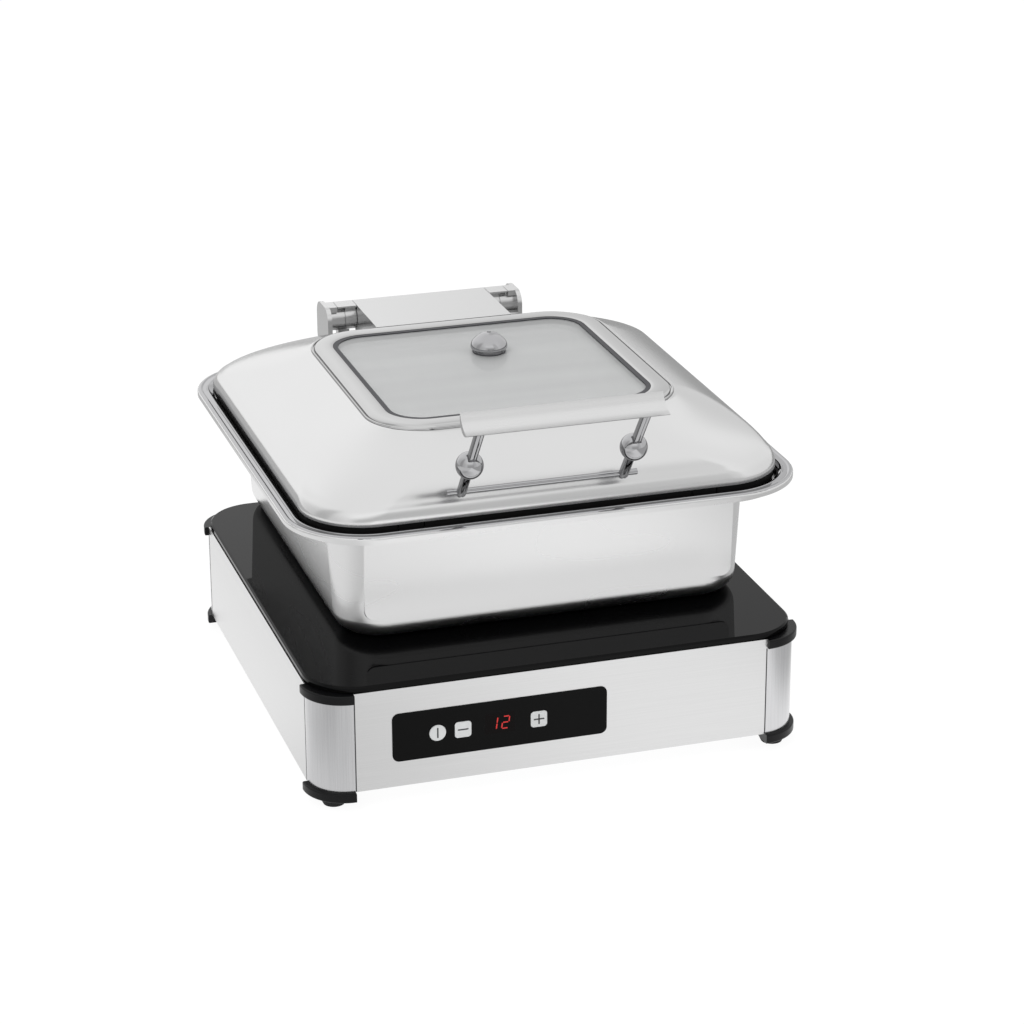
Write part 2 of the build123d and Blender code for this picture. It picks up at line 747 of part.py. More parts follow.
fan_z = floor_z + floor_t
fan_place = [(fan_x, fan_y)]
fan_floor_t = 3.0
fan_corner_r = 4.0
fan_strut_w = 4.0
fan_strut_bite = 2.0      # struts past the bore, into the frame
motor_seat_r = fan_hub_r - 2
shaft_short = 6.0         # shaft's end below the fan's top
with BuildPart() as fan_housing:
    with BuildSketch(base_level(fan_z)):
        with Locations((fan_x, fan_y)):
            RectangleRounded(fan_size, fan_size, fan_corner_r)
    extrude(amount=fan_t)
    disc(base_level(fan_z), fan_bore_r, fan_t, fan_place, Mode.SUBTRACT)
    disc(base_level(fan_z), motor_seat_r, fan_floor_t, fan_place)
    for turn in (45, 135):
        with BuildSketch(base_level(fan_z)):
            with Locations(Location((fan_x, fan_y), turn)):
                Rectangle(2 * (fan_bore_r + fan_strut_bite), fan_strut_w)
        extrude(amount=fan_floor_t)
    disc(base_level(fan_z), fan_shaft_r, fan_t - shaft_short, fan_place)
fan_housing.part.label = "fan_housing"
export_step(fan_housing.part, "parts/fan_housing.step")

rotor_gap = 1.0           # rotor above the struts
rotor_below_top = 2.0
rotor_z = fan_z + fan_floor_t + rotor_gap
rotor_h = fan_t - fan_floor_t - rotor_gap - rotor_below_top
blade_t = 1.6
blade_bite = 2.0          # blades' length inside the hub and past the sweep
blade_count = 7
blade_pitch = 38.0
with BuildPart() as fan_rotor:
    disc(base_level(rotor_z), fan_hub_r, rotor_h, fan_place)
    with Locations((base_x + fan_x, base_y + fan_y, rotor_z + rotor_h / 2)):
        with PolarLocations((fan_hub_r + fan_blade_r) / 2, blade_count):
            Box(fan_blade_r - fan_hub_r + blade_bite, blade_t, rotor_h, rotation=(blade_pitch, 0, 0))
    disc(base_level(rotor_z), fan_shaft_r + running_fit, rotor_h, fan_place, Mode.SUBTRACT)
    with BuildSketch(base_level(rotor_z - 1)) as sweep_limit:
        with Locations((fan_x, fan_y)):
            Circle(fan_blade_r)
    extrude(sweep_limit.sketch, amount=rotor_h + 2, mode=Mode.INTERSECT)
fan_rotor.part.label = "fan_rotor"
export_step(fan_rotor.part, "parts/fan_rotor.step")

blade_pin_w = 2.0
blade_pin_h = 5.0
blade_pin_short = 5.0     # pins' ends inside the mouth
pin_up = 3.0              # pins above and below the inlet's middle
pin_apart = 6.0
with BuildPart() as power_inlet:
    with BuildSketch(base_front(half_d)):
        with Locations((inlet_x, inlet_z)):
            RectangleRounded(inlet_w + 2 * inlet_flange, inlet_h + 2 * inlet_flange, inlet_r + 1)
    extrude(amount=-inlet_wall)
    with BuildSketch(base_front(half_d)):
        with Locations((inlet_x, inlet_z)):
            RectangleRounded(inlet_w, inlet_h, inlet_r)
    extrude(amount=inlet_t)
    with BuildSketch(base_front(half_d + inlet_wall)):
        with Locations((inlet_x, inlet_z)):
            RectangleRounded(inlet_w - 2 * inlet_wall, inlet_h - 2 * inlet_wall, inlet_r - 1)
    extrude(amount=inlet_t - 1, mode=Mode.SUBTRACT)
    pin_places = [(inlet_x, inlet_z + pin_up)]
    pin_places += [(inlet_x + side * pin_apart, inlet_z - pin_up) for side in (-1, 1)]
    block(base_front(half_d - inlet_t), blade_pin_w, blade_pin_h, blade_pin_short - inlet_t, pin_places)
power_inlet.part.label = "power_inlet"
export_step(power_inlet.part, "parts/power_inlet.step")

# ================================================================ dish: water pan
gutter_w = rim_w - 2 * rim_flat
gutter_d = rim_d - 2 * rim_flat
gutter_r = rim_r - rim_flat
pan_h = gutter_z - hob_top
cavity_r = pan_foot_r - pan_wall
draft_run = sin(radians(pan_draft)) / cos(radians(pan_draft))
pan_mouth_w = pan_foot_w + 2 * (pan_h * draft_run - pan_wall)
pan_mouth_d = pan_foot_d + 2 * (pan_h * draft_run - pan_wall)

with BuildPart() as pan_cavity:
    slab(
        dish_level(hob_top + pan_wall), pan_foot_w - 2 * pan_wall, pan_foot_d - 2 * pan_wall, cavity_r,
        pan_h, taper=-pan_draft,
    )
    fillet(pan_cavity.edges().group_by(Axis.Z)[0], pan_bottom_fillet - pan_wall)

emboss_w = pan_foot_w - 2 * emboss_end
emboss_h = pan_h - emboss_rise - emboss_under
emboss_z = hob_top + emboss_rise + emboss_h / 2
emboss_y = pan_foot_d / 2 + (emboss_z - hob_top) * draft_run
with BuildPart() as water_pan:
    slab(dish_level(hob_top), pan_foot_w, pan_foot_d, pan_foot_r, pan_h, taper=-pan_draft)
    fillet(water_pan.edges().group_by(Axis.Z)[0], pan_bottom_fillet)
    for side in (-1, 1):
        wall_face = Plane(
            origin=(dish_x, dish_y + side * emboss_y, emboss_z),
            x_dir=(1, 0, 0),
            z_dir=(0, side * cos(radians(pan_draft)), -sin(radians(pan_draft))),
        )
        with BuildSketch(wall_face.offset(-pan_wall / 2)) as emboss:
            RectangleRounded(emboss_w, emboss_h, emboss_r)
        extrude(emboss.sketch, amount=emboss_t + pan_wall / 2, taper=20)
    slab(
        dish_level(gutter_z - pan_wall), gutter_w + 2 * pan_wall, gutter_d + 2 * pan_wall,
        gutter_r + pan_wall, gutter_depth,
    )
    slab(dish_level(rim_z - lip_h), rim_w, rim_d, rim_r, lip_h)
    fillet(water_pan.edges().group_by(Axis.Z)[-1], rim_edge_r)
    ring(
        dish_level(rim_z - lip_h), rim_w - 2 * pan_wall, rim_d - 2 * pan_wall, rim_r - pan_wall,
        rim_flat - 2 * pan_wall, lip_h - pan_wall, Mode.SUBTRACT,
    )
    slab(dish_level(gutter_z), gutter_w, gutter_d, gutter_r, gutter_depth + 1, Mode.SUBTRACT)
    add(pan_cavity.part, mode=Mode.SUBTRACT)
water_pan.part.label = "water_pan"
export_step(water_pan.part, "parts/water_pan.step")

# ================================================================ dish: food pan
food_top = gutter_z + food_wall
food_w = pan_mouth_w - 2 * food_gap
food_d = pan_mouth_d - 2 * food_gap
food_flange_w = gutter_w - 2 * food_flange_gap_x
food_flange_d = gutter_d - 2 * food_flange_gap_y
food_in = food_depth * draft_run
with BuildPart() as food_cavity:
    food_level = dish_level(food_top - food_depth + food_wall)
    inner_w = food_w - 2 * food_in - 2 * food_wall
    inner_d = food_d - 2 * food_in - 2 * food_wall
    slab(food_level, inner_w, inner_d, food_r - food_in, food_depth, taper=-pan_draft)
    fillet(food_cavity.edges().group_by(Axis.Z)[0], food_bottom_fillet - food_wall)

with BuildPart() as food_pan:
    slab(
        dish_level(food_top - food_depth), food_w - 2 * food_in, food_d - 2 * food_in, food_r - food_in,
        food_depth, taper=-pan_draft,
    )
    fillet(food_pan.edges().group_by(Axis.Z)[0], food_bottom_fillet)
    slab(dish_level(gutter_z), food_flange_w, food_flange_d, food_flange_r, food_wall)
    add(food_cavity.part, mode=Mode.SUBTRACT)
food_pan.part.label = "food_pan"
export_step(food_pan.part, "parts/food_pan.step")

bumper_l = 20.0
bumper_t = 5.0
bumper_x = 120.0
bumper_gap = 0.3
bumper_y = (food_flange_d + lid_d) / 4 + 0.4
with BuildPart() as lid_bumpers:
    places = [(side * bumper_x, -bumper_y) for side in (-1, 1)]
    block(dish_level(gutter_z), bumper_l, bumper_t, lid_z - gutter_z - bumper_gap, places)
lid_bumpers.part.label = "lid_bumpers"
export_step(lid_bumpers.part, "parts/lid_bumpers.step")

# ================================================================ lid: shell
def dome(low, high, shrink):
    """Loft the lid's dome between two heights, every section smaller than the outside by shrink."""
    sections = []
    for step in range(dome_steps + 1):
        share = step / dome_steps
        inset = share ** dome_power
        z = low + (high - low) * share
        with BuildSketch(dish_level(z, plateau_shift * inset)) as section:
            RectangleRounded(
                lid_w + (plateau_w - lid_w) * inset - 2 * shrink,
                lid_d + (plateau_d - lid_d) * inset - 2 * shrink,
                lid_r + (plateau_r - lid_r) * inset + hip_swell * 4 * inset * (1 - inset) - shrink,
            )
        sections.append(section.sketch)
    loft(sections=sections)


with BuildPart() as lid_outside:
    dome(lid_z, plateau_z, 0)

with BuildPart() as lid_inside:
    dome(lid_z, plateau_z - lid_wall, lid_wall)

skirt_t = 2.9             # window frame's skirt in the lid's opening
skirt_fit = 0.1
opening_w = frame_inner_w + 2 * (skirt_t + skirt_fit)
opening_d = frame_inner_d + 2 * (skirt_t + skirt_fit)
opening_r = frame_inner_r + skirt_t + skirt_fit

with BuildPart() as lid_shell:
    add(lid_outside.part)
    add(lid_inside.part, mode=Mode.SUBTRACT)
    slab(dish_level(plateau_z - 10, plateau_shift), opening_w, opening_d, opening_r, 20, Mode.SUBTRACT)
    ring(dish_level(lid_z), lid_w - lid_wall, lid_d - lid_wall, lid_r - lid_wall / 2, lid_flange, lid_wall)
lid_shell.part.label = "lid_shell"
export_step(lid_shell.part, "parts/lid_shell.step")

# ================================================================ lid: window, seal and steam knob
gasket_low = 3.4          # gasket's lower edge under the plateau
gasket_z = plateau_z - gasket_low
glass_z = gasket_z + 1.2
gasket_top = glass_z + window_t + gasket_lip
window_w = frame_inner_w - 2 * gasket_w + 2 * window_bite
window_d = frame_inner_d - 2 * gasket_w + 2 * window_bite
window_r = frame_inner_r - gasket_w + window_bite

with BuildPart() as window_frame:
    slab(
        dish_level(plateau_z, plateau_shift), plateau_w - 2 * frame_inset, plateau_d - 2 * frame_inset,
        plateau_r - frame_inset, frame_h,
    )
    fillet(window_frame.edges().group_by(Axis.Z)[-1], frame_h / 2)
    slab(
        dish_level(gasket_z, plateau_shift), frame_inner_w + 2 * skirt_t, frame_inner_d + 2 * skirt_t,
        frame_inner_r + skirt_t, plateau_z - gasket_z,
    )
    slab(dish_level(gasket_z, plateau_shift), frame_inner_w, frame_inner_d, frame_inner_r, 20, Mode.SUBTRACT)
window_frame.part.label = "window_frame"
export_step(window_frame.part, "parts/window_frame.step")

with BuildPart() as window_gasket:
    ring(
        dish_level(gasket_z, plateau_shift), frame_inner_w, frame_inner_d, frame_inner_r, gasket_w,
        gasket_top - gasket_z,
    )
    slab(dish_level(glass_z, plateau_shift), window_w, window_d, window_r, window_t, Mode.SUBTRACT)
window_gasket.part.label = "window_gasket"
export_step(window_gasket.part, "parts/window_gasket.step")

glass_top_z = glass_z + window_t
knob_place = [(knob_x, knob_y)]
with BuildPart() as window_glass:
    slab(dish_level(glass_z, plateau_shift), window_w, window_d, window_r, window_t)
    disc(dish_level(glass_z), steam_bore_r + running_fit, window_t, knob_place, Mode.SUBTRACT)
window_glass.part.label = "window_glass"
export_step(window_glass.part, "parts/window_glass.step")

with BuildPart() as lid_seal:
    ring(dish_level(lid_z - seal_h), lid_w - 3, lid_d - 3, lid_r - 1.5, seal_w, seal_h)
    for side in (-1, 1):
        with BuildSketch(dish_level(lid_z - seal_h)) as notch:
            with Locations((side * bumper_x, -bumper_y)):
                Rectangle(bumper_l + 2, 4 * seal_w)
        extrude(notch.sketch, amount=seal_h, mode=Mode.SUBTRACT)
lid_seal.part.label = "lid_seal"
export_step(lid_seal.part, "parts/lid_seal.step")

stem_top = glass_top_z + knob_neck_h + 6
slot_l = 5.0
slot_w = 1.6
slot_at = 4.5             # steam slot behind the knob's centre
knob_axis = Plane(origin=(dish_x + knob_x, dish_y + knob_y, glass_top_z), x_dir=(1, 0, 0), z_dir=(0, -1, 0))
with BuildPart() as vent_knob:
    with BuildSketch(knob_axis):
        with BuildLine():
            Polyline(
                (0, 0), (knob_neck_r + 2, 0), (knob_neck_r + 2, 1), (knob_neck_r, 1),
                (knob_neck_r, knob_neck_h), (knob_r - 0.8, knob_neck_h), (knob_r, knob_neck_h + 0.8),
            )
            Spline(
                (knob_r, knob_neck_h + 0.8), (knob_r * 0.72, knob_h * 0.72), (0, knob_h),
                tangents=((0, 1), (-1, 0)),
            )
            Line((0, knob_h), (0, 0))
        make_face()
    revolve(axis=Axis((dish_x + knob_x, dish_y + knob_y, 0), (0, 0, 1)))
    disc(dish_level(glass_top_z), steam_bore_r + running_fit, knob_neck_h + 6.5, knob_place, Mode.SUBTRACT)
    with BuildSketch(dish_level(glass_top_z + knob_neck_h + 6)) as steam_slot:
        with Locations((knob_x, knob_y + slot_at)):
            SlotOverall(slot_l, slot_w)
    extrude(steam_slot.sketch, amount=knob_h, mode=Mode.SUBTRACT)
vent_knob.part.label = "vent_knob"
export_step(vent_knob.part, "parts/vent_knob.step")

nut_t = 5.0
nut_across = 15.0
steam_way_r = 2.0
with BuildPart() as vent_stem:
    disc(dish_level(glass_z - nut_t), steam_bore_r, stem_top - glass_z + nut_t, knob_place)
    with BuildSketch(dish_level(glass_z - nut_t)) as nut:
        with Locations((knob_x, knob_y)):
            RegularPolygon(nut_across / 2, 6, major_radius=False)
    extrude(nut.sketch, amount=nut_t)
    disc(dish_level(glass_z - nut_t), steam_way_r, stem_top - glass_z + nut_t, knob_place, Mode.SUBTRACT)
vent_stem.part.label = "vent_stem"
export_step(vent_stem.part, "parts/vent_stem.step")

# ================================================================ lid: handle
grip_run = (grip_top[0] - grip_low[0], grip_top[1] - grip_low[1])
grip_chord = (grip_run[0] ** 2 + grip_run[1] ** 2) ** 0.5
grip_inward = (grip_run[1] / grip_chord, -grip_run[0] / grip_chord)
grip_middle = ((grip_low[0] + grip_top[0]) / 2, (grip_low[1] + grip_top[1]) / 2)


def behind_chord(depth):
    """Point of the grip's section that far behind the middle of its chord."""
    return (grip_middle[0] + grip_inward[0] * depth, grip_middle[1] + grip_inward[1] * depth)


with BuildPart() as handle_grip:
    with BuildSketch(dish_side(handle_shift - grip_half)) as grip_section:
        with BuildLine():
            ThreePointArc(grip_low, behind_chord(grip_hollow), grip_top)
            ThreePointArc(grip_top, behind_chord(grip_hollow + grip_t), grip_low)
        make_face()
    extrude(grip_section.sketch, amount=2 * grip_half)
handle_grip.part.label = "handle_grip"
export_step(handle_grip.part, "parts/handle_grip.step")

with BuildPart() as handle_rail:
    with BuildSketch(dish_side(handle_shift - rail_half)) as rail_section:
        with Locations(rail_mid):
            Circle(rail_r)
    extrude(rail_section.sketch, amount=2 * rail_half)
    add(lid_outside.part, mode=Mode.SUBTRACT)
handle_rail.part.label = "handle_rail"
export_step(handle_rail.part, "parts/handle_rail.step")


def circle_centre(a, b, c):
    """Centre of the circle through three points of an upright plane."""
    a_square, b_square, c_square = (y * y + z * z for y, z in (a, b, c))
    twice = 2 * (a[0] * (b[1] - c[1]) + b[0] * (c[1] - a[1]) + c[0] * (a[1] - b[1]))
    centre_y = (a_square * (b[1] - c[1]) + b_square * (c[1] - a[1]) + c_square * (a[1] - b[1])) / twice
    centre_z = (a_square * (c[0] - b[0]) + b_square * (a[0] - c[0]) + c_square * (b[0] - a[0])) / twice
    return centre_y, centre_z


rod_centre = circle_centre(rod_root, rod_middle, rod_end)


def beside_rod(point, offset):
    """A point of the rods' curve, moved away from the curve's centre."""
    away = (point[0] - rod_centre[0], point[1] - rod_centre[1])
    scale = 1 + offset / (away[0] ** 2 + away[1] ** 2) ** 0.5
    return (rod_centre[0] + away[0] * scale, rod_centre[1] + away[1] * scale)


with BuildPart() as handle_rods:
    for side in (-1, 1):
        with BuildSketch(dish_side(handle_shift + side * rod_x - rod_size / 2)) as rod_band:
            with BuildLine():
                outer = [beside_rod(point, rod_size / 2) for point in (rod_root, rod_middle, rod_end)]
                inner = [beside_rod(point, -rod_size / 2) for point in (rod_root, rod_middle, rod_end)]
                ThreePointArc(*outer)
                Line(outer[2], inner[2])
                ThreePointArc(*inner)
                Line(inner[0], outer[0])
            make_face()
        extrude(rod_band.sketch, amount=rod_size)
    chamfer(handle_rods.edges().filter_by(GeomType.CIRCLE), rod_chamfer)
    add(lid_outside.part, mode=Mode.SUBTRACT)
    add(handle_grip.part, mode=Mode.SUBTRACT)
    add(handle_rail.part, mode=Mode.SUBTRACT)
handle_rods.part.label = "handle_rods"
export_step(handle_rods.part, "parts/handle_rods.step")

with BuildPart() as handle_balls:
    ball_x = dish_x + handle_shift
    ball_places = [(ball_x + side * rod_x, dish_y + rod_middle[0], rod_middle[1]) for side in (-1, 1)]
    with Locations(*ball_places):
        Sphere(ball_r)
    add(handle_rods.part, mode=Mode.SUBTRACT)
handle_balls.part.label = "handle_balls"
export_step(handle_balls.part, "parts/handle_balls.step")

# ================================================================ hinge
hinge_top = axis_z + barrel_r + cover_rise
axis_place = [(axis_y, axis_z)]
pin_bore_r = pin_r + running_fit
bracket_in = cover_half + hinge_side_gap
knuckle_in = bracket_in + bracket_t + hinge_side_gap
tab_out = bracket_in + tab_reach
end_plate_front = axis_y - end_plate_forward
end_plate_back = axis_y + end_plate_rearward
end_plate_low = axis_z - end_plate_down
tab_front = axis_y + hinge_back - tab_l
plate_in = hinge_half - end_plate_t
rim_back = rim_d / 2
rim_front = rim_back - rim_flat
arm_front = rim_front + 0.4
arm_rear = rim_back - 0.2


def side_span(side, low, high):
    """Start and signed length, along +X, of what reaches from low to high on one side of the middle."""
    return side * low, side * (high - low)


for name, side in (("hinge_bracket_left", -1), ("hinge_bracket_right", 1)):
    with BuildPart() as hinge_bracket:
        start, length = side_span(side, bracket_in, bracket_in + bracket_t)
        disc(dish_side(start), barrel_r, length, axis_place)
        with BuildSketch(dish_side(start)) as arm:
            with BuildLine():
                Polyline(
                    (arm_front, rim_z), (arm_rear, rim_z), (arm_rear, axis_z - 2),
                    (axis_y + hinge_back, hinge_top), (tab_front, hinge_top), (tab_front, hinge_top - tab_t),
                    (axis_y, axis_z), (arm_front, axis_z - 12), close=True,
                )
            make_face()
        extrude(arm.sketch, amount=length)
        start, length = side_span(side, bracket_in, tab_out)
        with BuildSketch(dish_side(start)) as tab:
            with Locations((axis_y + hinge_back - tab_l / 2, hinge_top - tab_t / 2)):
                Rectangle(tab_l, tab_t)
        extrude(tab.sketch, amount=length)
        foot_mid = (rim_front + rim_back + 0.2) / 2
        block(dish_level(rim_z), 20, rim_flat - 0.6, 2, [(side * (bracket_in + bracket_t / 2), foot_mid)])
        start, length = side_span(side, bracket_in, bracket_in + bracket_t)
        disc(dish_side(start), pin_bore_r, length, axis_place, Mode.SUBTRACT)
    hinge_bracket.part.label = name
    export_step(hinge_bracket.part, f"parts/{name}.step")

with BuildPart() as hinge_end_plates:
    for side in (-1, 1):
        start, length = side_span(side, plate_in, hinge_half)
        with BuildSketch(dish_side(start)) as plate:
            with Locations(((end_plate_front + end_plate_back) / 2, (end_plate_low + hinge_top) / 2)):
                RectangleRounded(end_plate_back - end_plate_front, hinge_top - end_plate_low, end_plate_r)
        extrude(plate.sketch, amount=length)
        start, length = side_span(side, knuckle_in, plate_in)
        disc(dish_side(start), barrel_r, length, axis_place)
        start, length = side_span(side, tab_out + hinge_side_gap, plate_in)
        with BuildSketch(dish_side(start)) as tab:
            with Locations((axis_y + hinge_back - tab_l / 2, hinge_top - (cover_rise + 3) / 2)):
                Rectangle(tab_l, cover_rise + 3)
        extrude(tab.sketch, amount=length)
        start, length = side_span(side, knuckle_in, plate_in)
        disc(dish_side(start), pin_bore_r, length, axis_place, Mode.SUBTRACT)
    add(lid_outside.part, mode=Mode.SUBTRACT)
hinge_end_plates.part.label = "hinge_end_plates"
export_step(hinge_end_plates.part, "parts/hinge_end_plates.step")

cover_front = plateau_shift + plateau_d / 2 - frame_inset + 0.6
cheek_t = 2.0
with BuildPart() as hinge_cover:
    disc(dish_side(-cover_half), barrel_r, 2 * cover_half, axis_place)
    with BuildSketch(dish_side(-cover_half)) as cover_section:
        with BuildLine():
            Polyline(
                (cover_front, hinge_top), (axis_y + hinge_back, hinge_top),
                (axis_y + hinge_back, axis_z), (axis_y, axis_z),
                (axis_y - barrel_r, hinge_top - cover_t), (cover_front, hinge_top - cover_t), close=True,
            )
        make_face()
    extrude(cover_section.sketch, amount=2 * cover_half)
    for start in (-cover_half, cover_half - cheek_t):
        with BuildSketch(dish_side(start)) as cheek:
            with BuildLine():
                Polyline(
                    (cover_front, hinge_top), (axis_y, hinge_top), (axis_y, axis_z - barrel_r / 2),
                    (axis_y - 20, lid_z), (cover_front, lid_z), close=True,
                )
            make_face()
        extrude(cheek.sketch, amount=cheek_t)
    add(lid_outside.part, mode=Mode.SUBTRACT)
    disc(dish_side(-cover_half), pin_bore_r, 2 * cover_half, axis_place, Mode.SUBTRACT)
hinge_cover.part.label = "hinge_cover"
export_step(hinge_cover.part, "parts/hinge_cover.step")

with BuildPart() as hinge_pin:
    disc(dish_side(0.2 - plate_in), pin_r, 2 * (plate_in - 0.2), axis_place)
hinge_pin.part.label = "hinge_pin"
export_step(hinge_pin.part, "parts/hinge_pin.step")
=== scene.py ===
"""Looks of the electric food warmer: finishes, finer metalwork, signs, studio and camera, around the CAD frame."""
import json
import math

import bpy
from mathutils import Matrix, Vector

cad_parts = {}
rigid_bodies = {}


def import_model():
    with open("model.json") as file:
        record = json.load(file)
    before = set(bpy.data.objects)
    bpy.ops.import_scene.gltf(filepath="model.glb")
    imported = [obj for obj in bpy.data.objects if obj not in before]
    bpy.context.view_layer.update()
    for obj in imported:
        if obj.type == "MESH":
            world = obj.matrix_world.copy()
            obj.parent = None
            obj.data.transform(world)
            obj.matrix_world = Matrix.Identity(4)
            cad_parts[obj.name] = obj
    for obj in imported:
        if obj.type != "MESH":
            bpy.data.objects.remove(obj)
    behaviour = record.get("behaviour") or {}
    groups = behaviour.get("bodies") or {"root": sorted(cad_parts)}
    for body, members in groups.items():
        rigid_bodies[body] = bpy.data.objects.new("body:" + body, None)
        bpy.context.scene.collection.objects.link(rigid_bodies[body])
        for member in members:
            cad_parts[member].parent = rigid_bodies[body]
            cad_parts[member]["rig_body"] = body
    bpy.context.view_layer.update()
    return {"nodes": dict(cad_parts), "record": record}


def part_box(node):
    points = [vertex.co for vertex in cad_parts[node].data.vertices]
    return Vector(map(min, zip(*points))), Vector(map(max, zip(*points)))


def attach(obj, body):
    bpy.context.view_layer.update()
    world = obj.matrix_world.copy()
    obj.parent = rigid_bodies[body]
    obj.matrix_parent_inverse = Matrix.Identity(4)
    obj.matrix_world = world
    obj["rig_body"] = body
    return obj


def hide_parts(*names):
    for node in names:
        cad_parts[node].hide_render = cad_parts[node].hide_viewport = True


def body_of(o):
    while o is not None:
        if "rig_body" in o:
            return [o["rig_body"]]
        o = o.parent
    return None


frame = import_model()
nodes = frame["nodes"]
MM = 0.001


# ================================================================ materials
NOISE_LOW = 0.2           # nearly all of a noise's values lie between these two
NOISE_HIGH = 0.8
BRUSHED_STRENGTH = 0.35   # how strongly a relief tilts the surface
MOULDED_STRENGTH = 0.5
ALONG = 14.0              # grain patches per metre along the brushing
ACROSS = 1500.0           # and across it
LEVEL = (ALONG, ALONG, ACROSS)
UPRIGHT = (ACROSS, ACROSS, ALONG)
CROSSWISE = (ALONG, ACROSS, ACROSS)
SOFT = (14.0, 14.0, 30.0)
CLOUDS = (22.0, 22.0, 22.0)         # patches per metre of the clouding on polished metal
STAINS = (9.0, 9.0, 9.0)            # of its colour
SHADES = (30.0, 30.0, 30.0)         # of a moulded piece's colour
GLASS_WIPING = (3.0, 35.0, 3.0)
HOB_WIPING = (10.0, 26.0, 10.0)
DISPLAY_GRAIN = (700.0, 700.0, 700.0)


def add_node(tree, kind, **inputs):
    """A shader node with the given input values, by socket name."""
    node = tree.nodes.new(kind)
    for name, value in inputs.items():
        node.inputs[name.replace("_", " ")].default_value = value
    return node


def surface(name, colour, metallic, roughness, **more):
    """A node material with one Principled shader, and that shader."""
    material = bpy.data.materials.new(name)
    material.use_nodes = True
    shader = material.node_tree.nodes["Principled BSDF"]
    shader.inputs["Base Color"].default_value = (*colour, 1.0)
    shader.inputs["Metallic"].default_value = metallic
    shader.inputs["Roughness"].default_value = roughness
    for socket, value in more.items():
        shader.inputs[socket.replace("_", " ")].default_value = value
    return material, shader


def noise(tree, scale, detail=3.0):
    """Noise over the object's own coordinates, stretched by a scale for each axis, in patches per metre."""
    place = tree.nodes.new("ShaderNodeTexCoord")
    mapping = add_node(tree, "ShaderNodeMapping", Scale=scale)
    texture = add_node(tree, "ShaderNodeTexNoise", Scale=1.0, Detail=detail)
    tree.links.new(place.outputs["Object"], mapping.inputs["Vector"])
    tree.links.new(mapping.outputs["Vector"], texture.inputs["Vector"])
    return texture.outputs["Fac"]


def spread(tree, value, low, high):
    """Map a noise value's middle range onto low to high."""
    node = add_node(tree, "ShaderNodeMapRange", From_Min=NOISE_LOW, From_Max=NOISE_HIGH, To_Min=low, To_Max=high)
    tree.links.new(value, node.inputs["Value"])
    return node.outputs["Result"]


def tint(tree, shader, value, colour, depth):
    """Vary the base colour by depth either way, following a noise value."""
    mix = tree.nodes.new("ShaderNodeMix")
    mix.data_type = "RGBA"
    mix.inputs["A"].default_value = (*[c * (1 - depth) for c in colour], 1.0)
    mix.inputs["B"].default_value = (*[min(1.0, c * (1 + depth)) for c in colour], 1.0)
    tree.links.new(value, mix.inputs["Factor"])
    tree.links.new(mix.outputs["Result"], shader.inputs["Base Color"])


def bump(tree, shader, value, height, strength):
    """Add a fine relief, height in metres, following a noise value."""
    node = add_node(tree, "ShaderNodeBump", Strength=strength, Distance=height)
    tree.links.new(value, node.inputs["Height"])
    tree.links.new(node.outputs["Normal"], shader.inputs["Normal"])


def grained_metal(name, colour, rough, grain, relief, depth=0.06, detail=3.0):
    """Brushed or satin metal: one grain in its roughness, its colour and, where it has one, its relief."""
    material, shader = surface(name, colour, 1.0, sum(rough) / 2)
    tree = material.node_tree
    fine = noise(tree, grain, detail)
    tree.links.new(spread(tree, fine, *rough), shader.inputs["Roughness"])
    tint(tree, shader, fine, colour, depth)
    if relief:
        bump(tree, shader, fine, relief, BRUSHED_STRENGTH)
    return material


def polished_metal(name, colour, rough):
    """Polished metal with the faint clouding of handled steel."""
    material, shader = surface(name, colour, 1.0, sum(rough) / 2)
    tree = material.node_tree
    tree.links.new(spread(tree, noise(tree, CLOUDS, 4.0), *rough), shader.inputs["Roughness"])
    tint(tree, shader, noise(tree, STAINS), colour, 0.03)
    return material


def moulded(name, colour, rough, size, relief, **more):
    """Plastic or rubber with a moulded grain of the given patch size."""
    material, shader = surface(name, colour, 0.0, sum(rough) / 2, **more)
    tree = material.node_tree
    per_metre = 1 / size
    grain = noise(tree, (per_metre, per_metre, per_metre), 2.0)
    tree.links.new(spread(tree, grain, *rough), shader.inputs["Roughness"])
    tint(tree, shader, noise(tree, SHADES), colour, 0.12)
    bump(tree, shader, grain, relief, MOULDED_STRENGTH)
    return material


def clear_glass():
    """Toughened glass with a pale white veil over it, which is painted light that brightens the window, and faint
    wiping marks in its gloss and its veil.
    """
    material, shader = surface("clear_glass", (0.90, 0.91, 0.91), 0.0, 0.02, IOR=1.46)
    tree = material.node_tree
    wiping = noise(tree, GLASS_WIPING, 1.0)
    tree.links.new(spread(tree, wiping, 0.01, 0.03), shader.inputs["Roughness"])
    # the veil's share sets how much painted light lies over the window
    tree.links.new(spread(tree, wiping, 0.38, 0.44), shader.inputs["Alpha"])
    return material


def black_glass():
    """Black glass ceramic, with faint wiping marks in its gloss."""
    material, shader = surface("black_glass", (0.002, 0.002, 0.0022), 0.0, 0.03, IOR=1.45, Specular_IOR_Level=0.15)
    tree = material.node_tree
    tree.links.new(spread(tree, noise(tree, HOB_WIPING), 0.015, 0.05), shader.inputs["Roughness"])
    return material


def lit_red():
    """Lit display bars, whose light varies a little."""
    material, shader = surface("led_red", (0.45, 0.03, 0.03), 0.0, 0.4, Specular_IOR_Level=0.2)
    shader.inputs["Emission Color"].default_value = (1.0, 0.07, 0.06, 1.0)
    tree = material.node_tree
    tree.links.new(spread(tree, noise(tree, DISPLAY_GRAIN), 0.20, 0.32), shader.inputs["Emission Strength"])
    return material


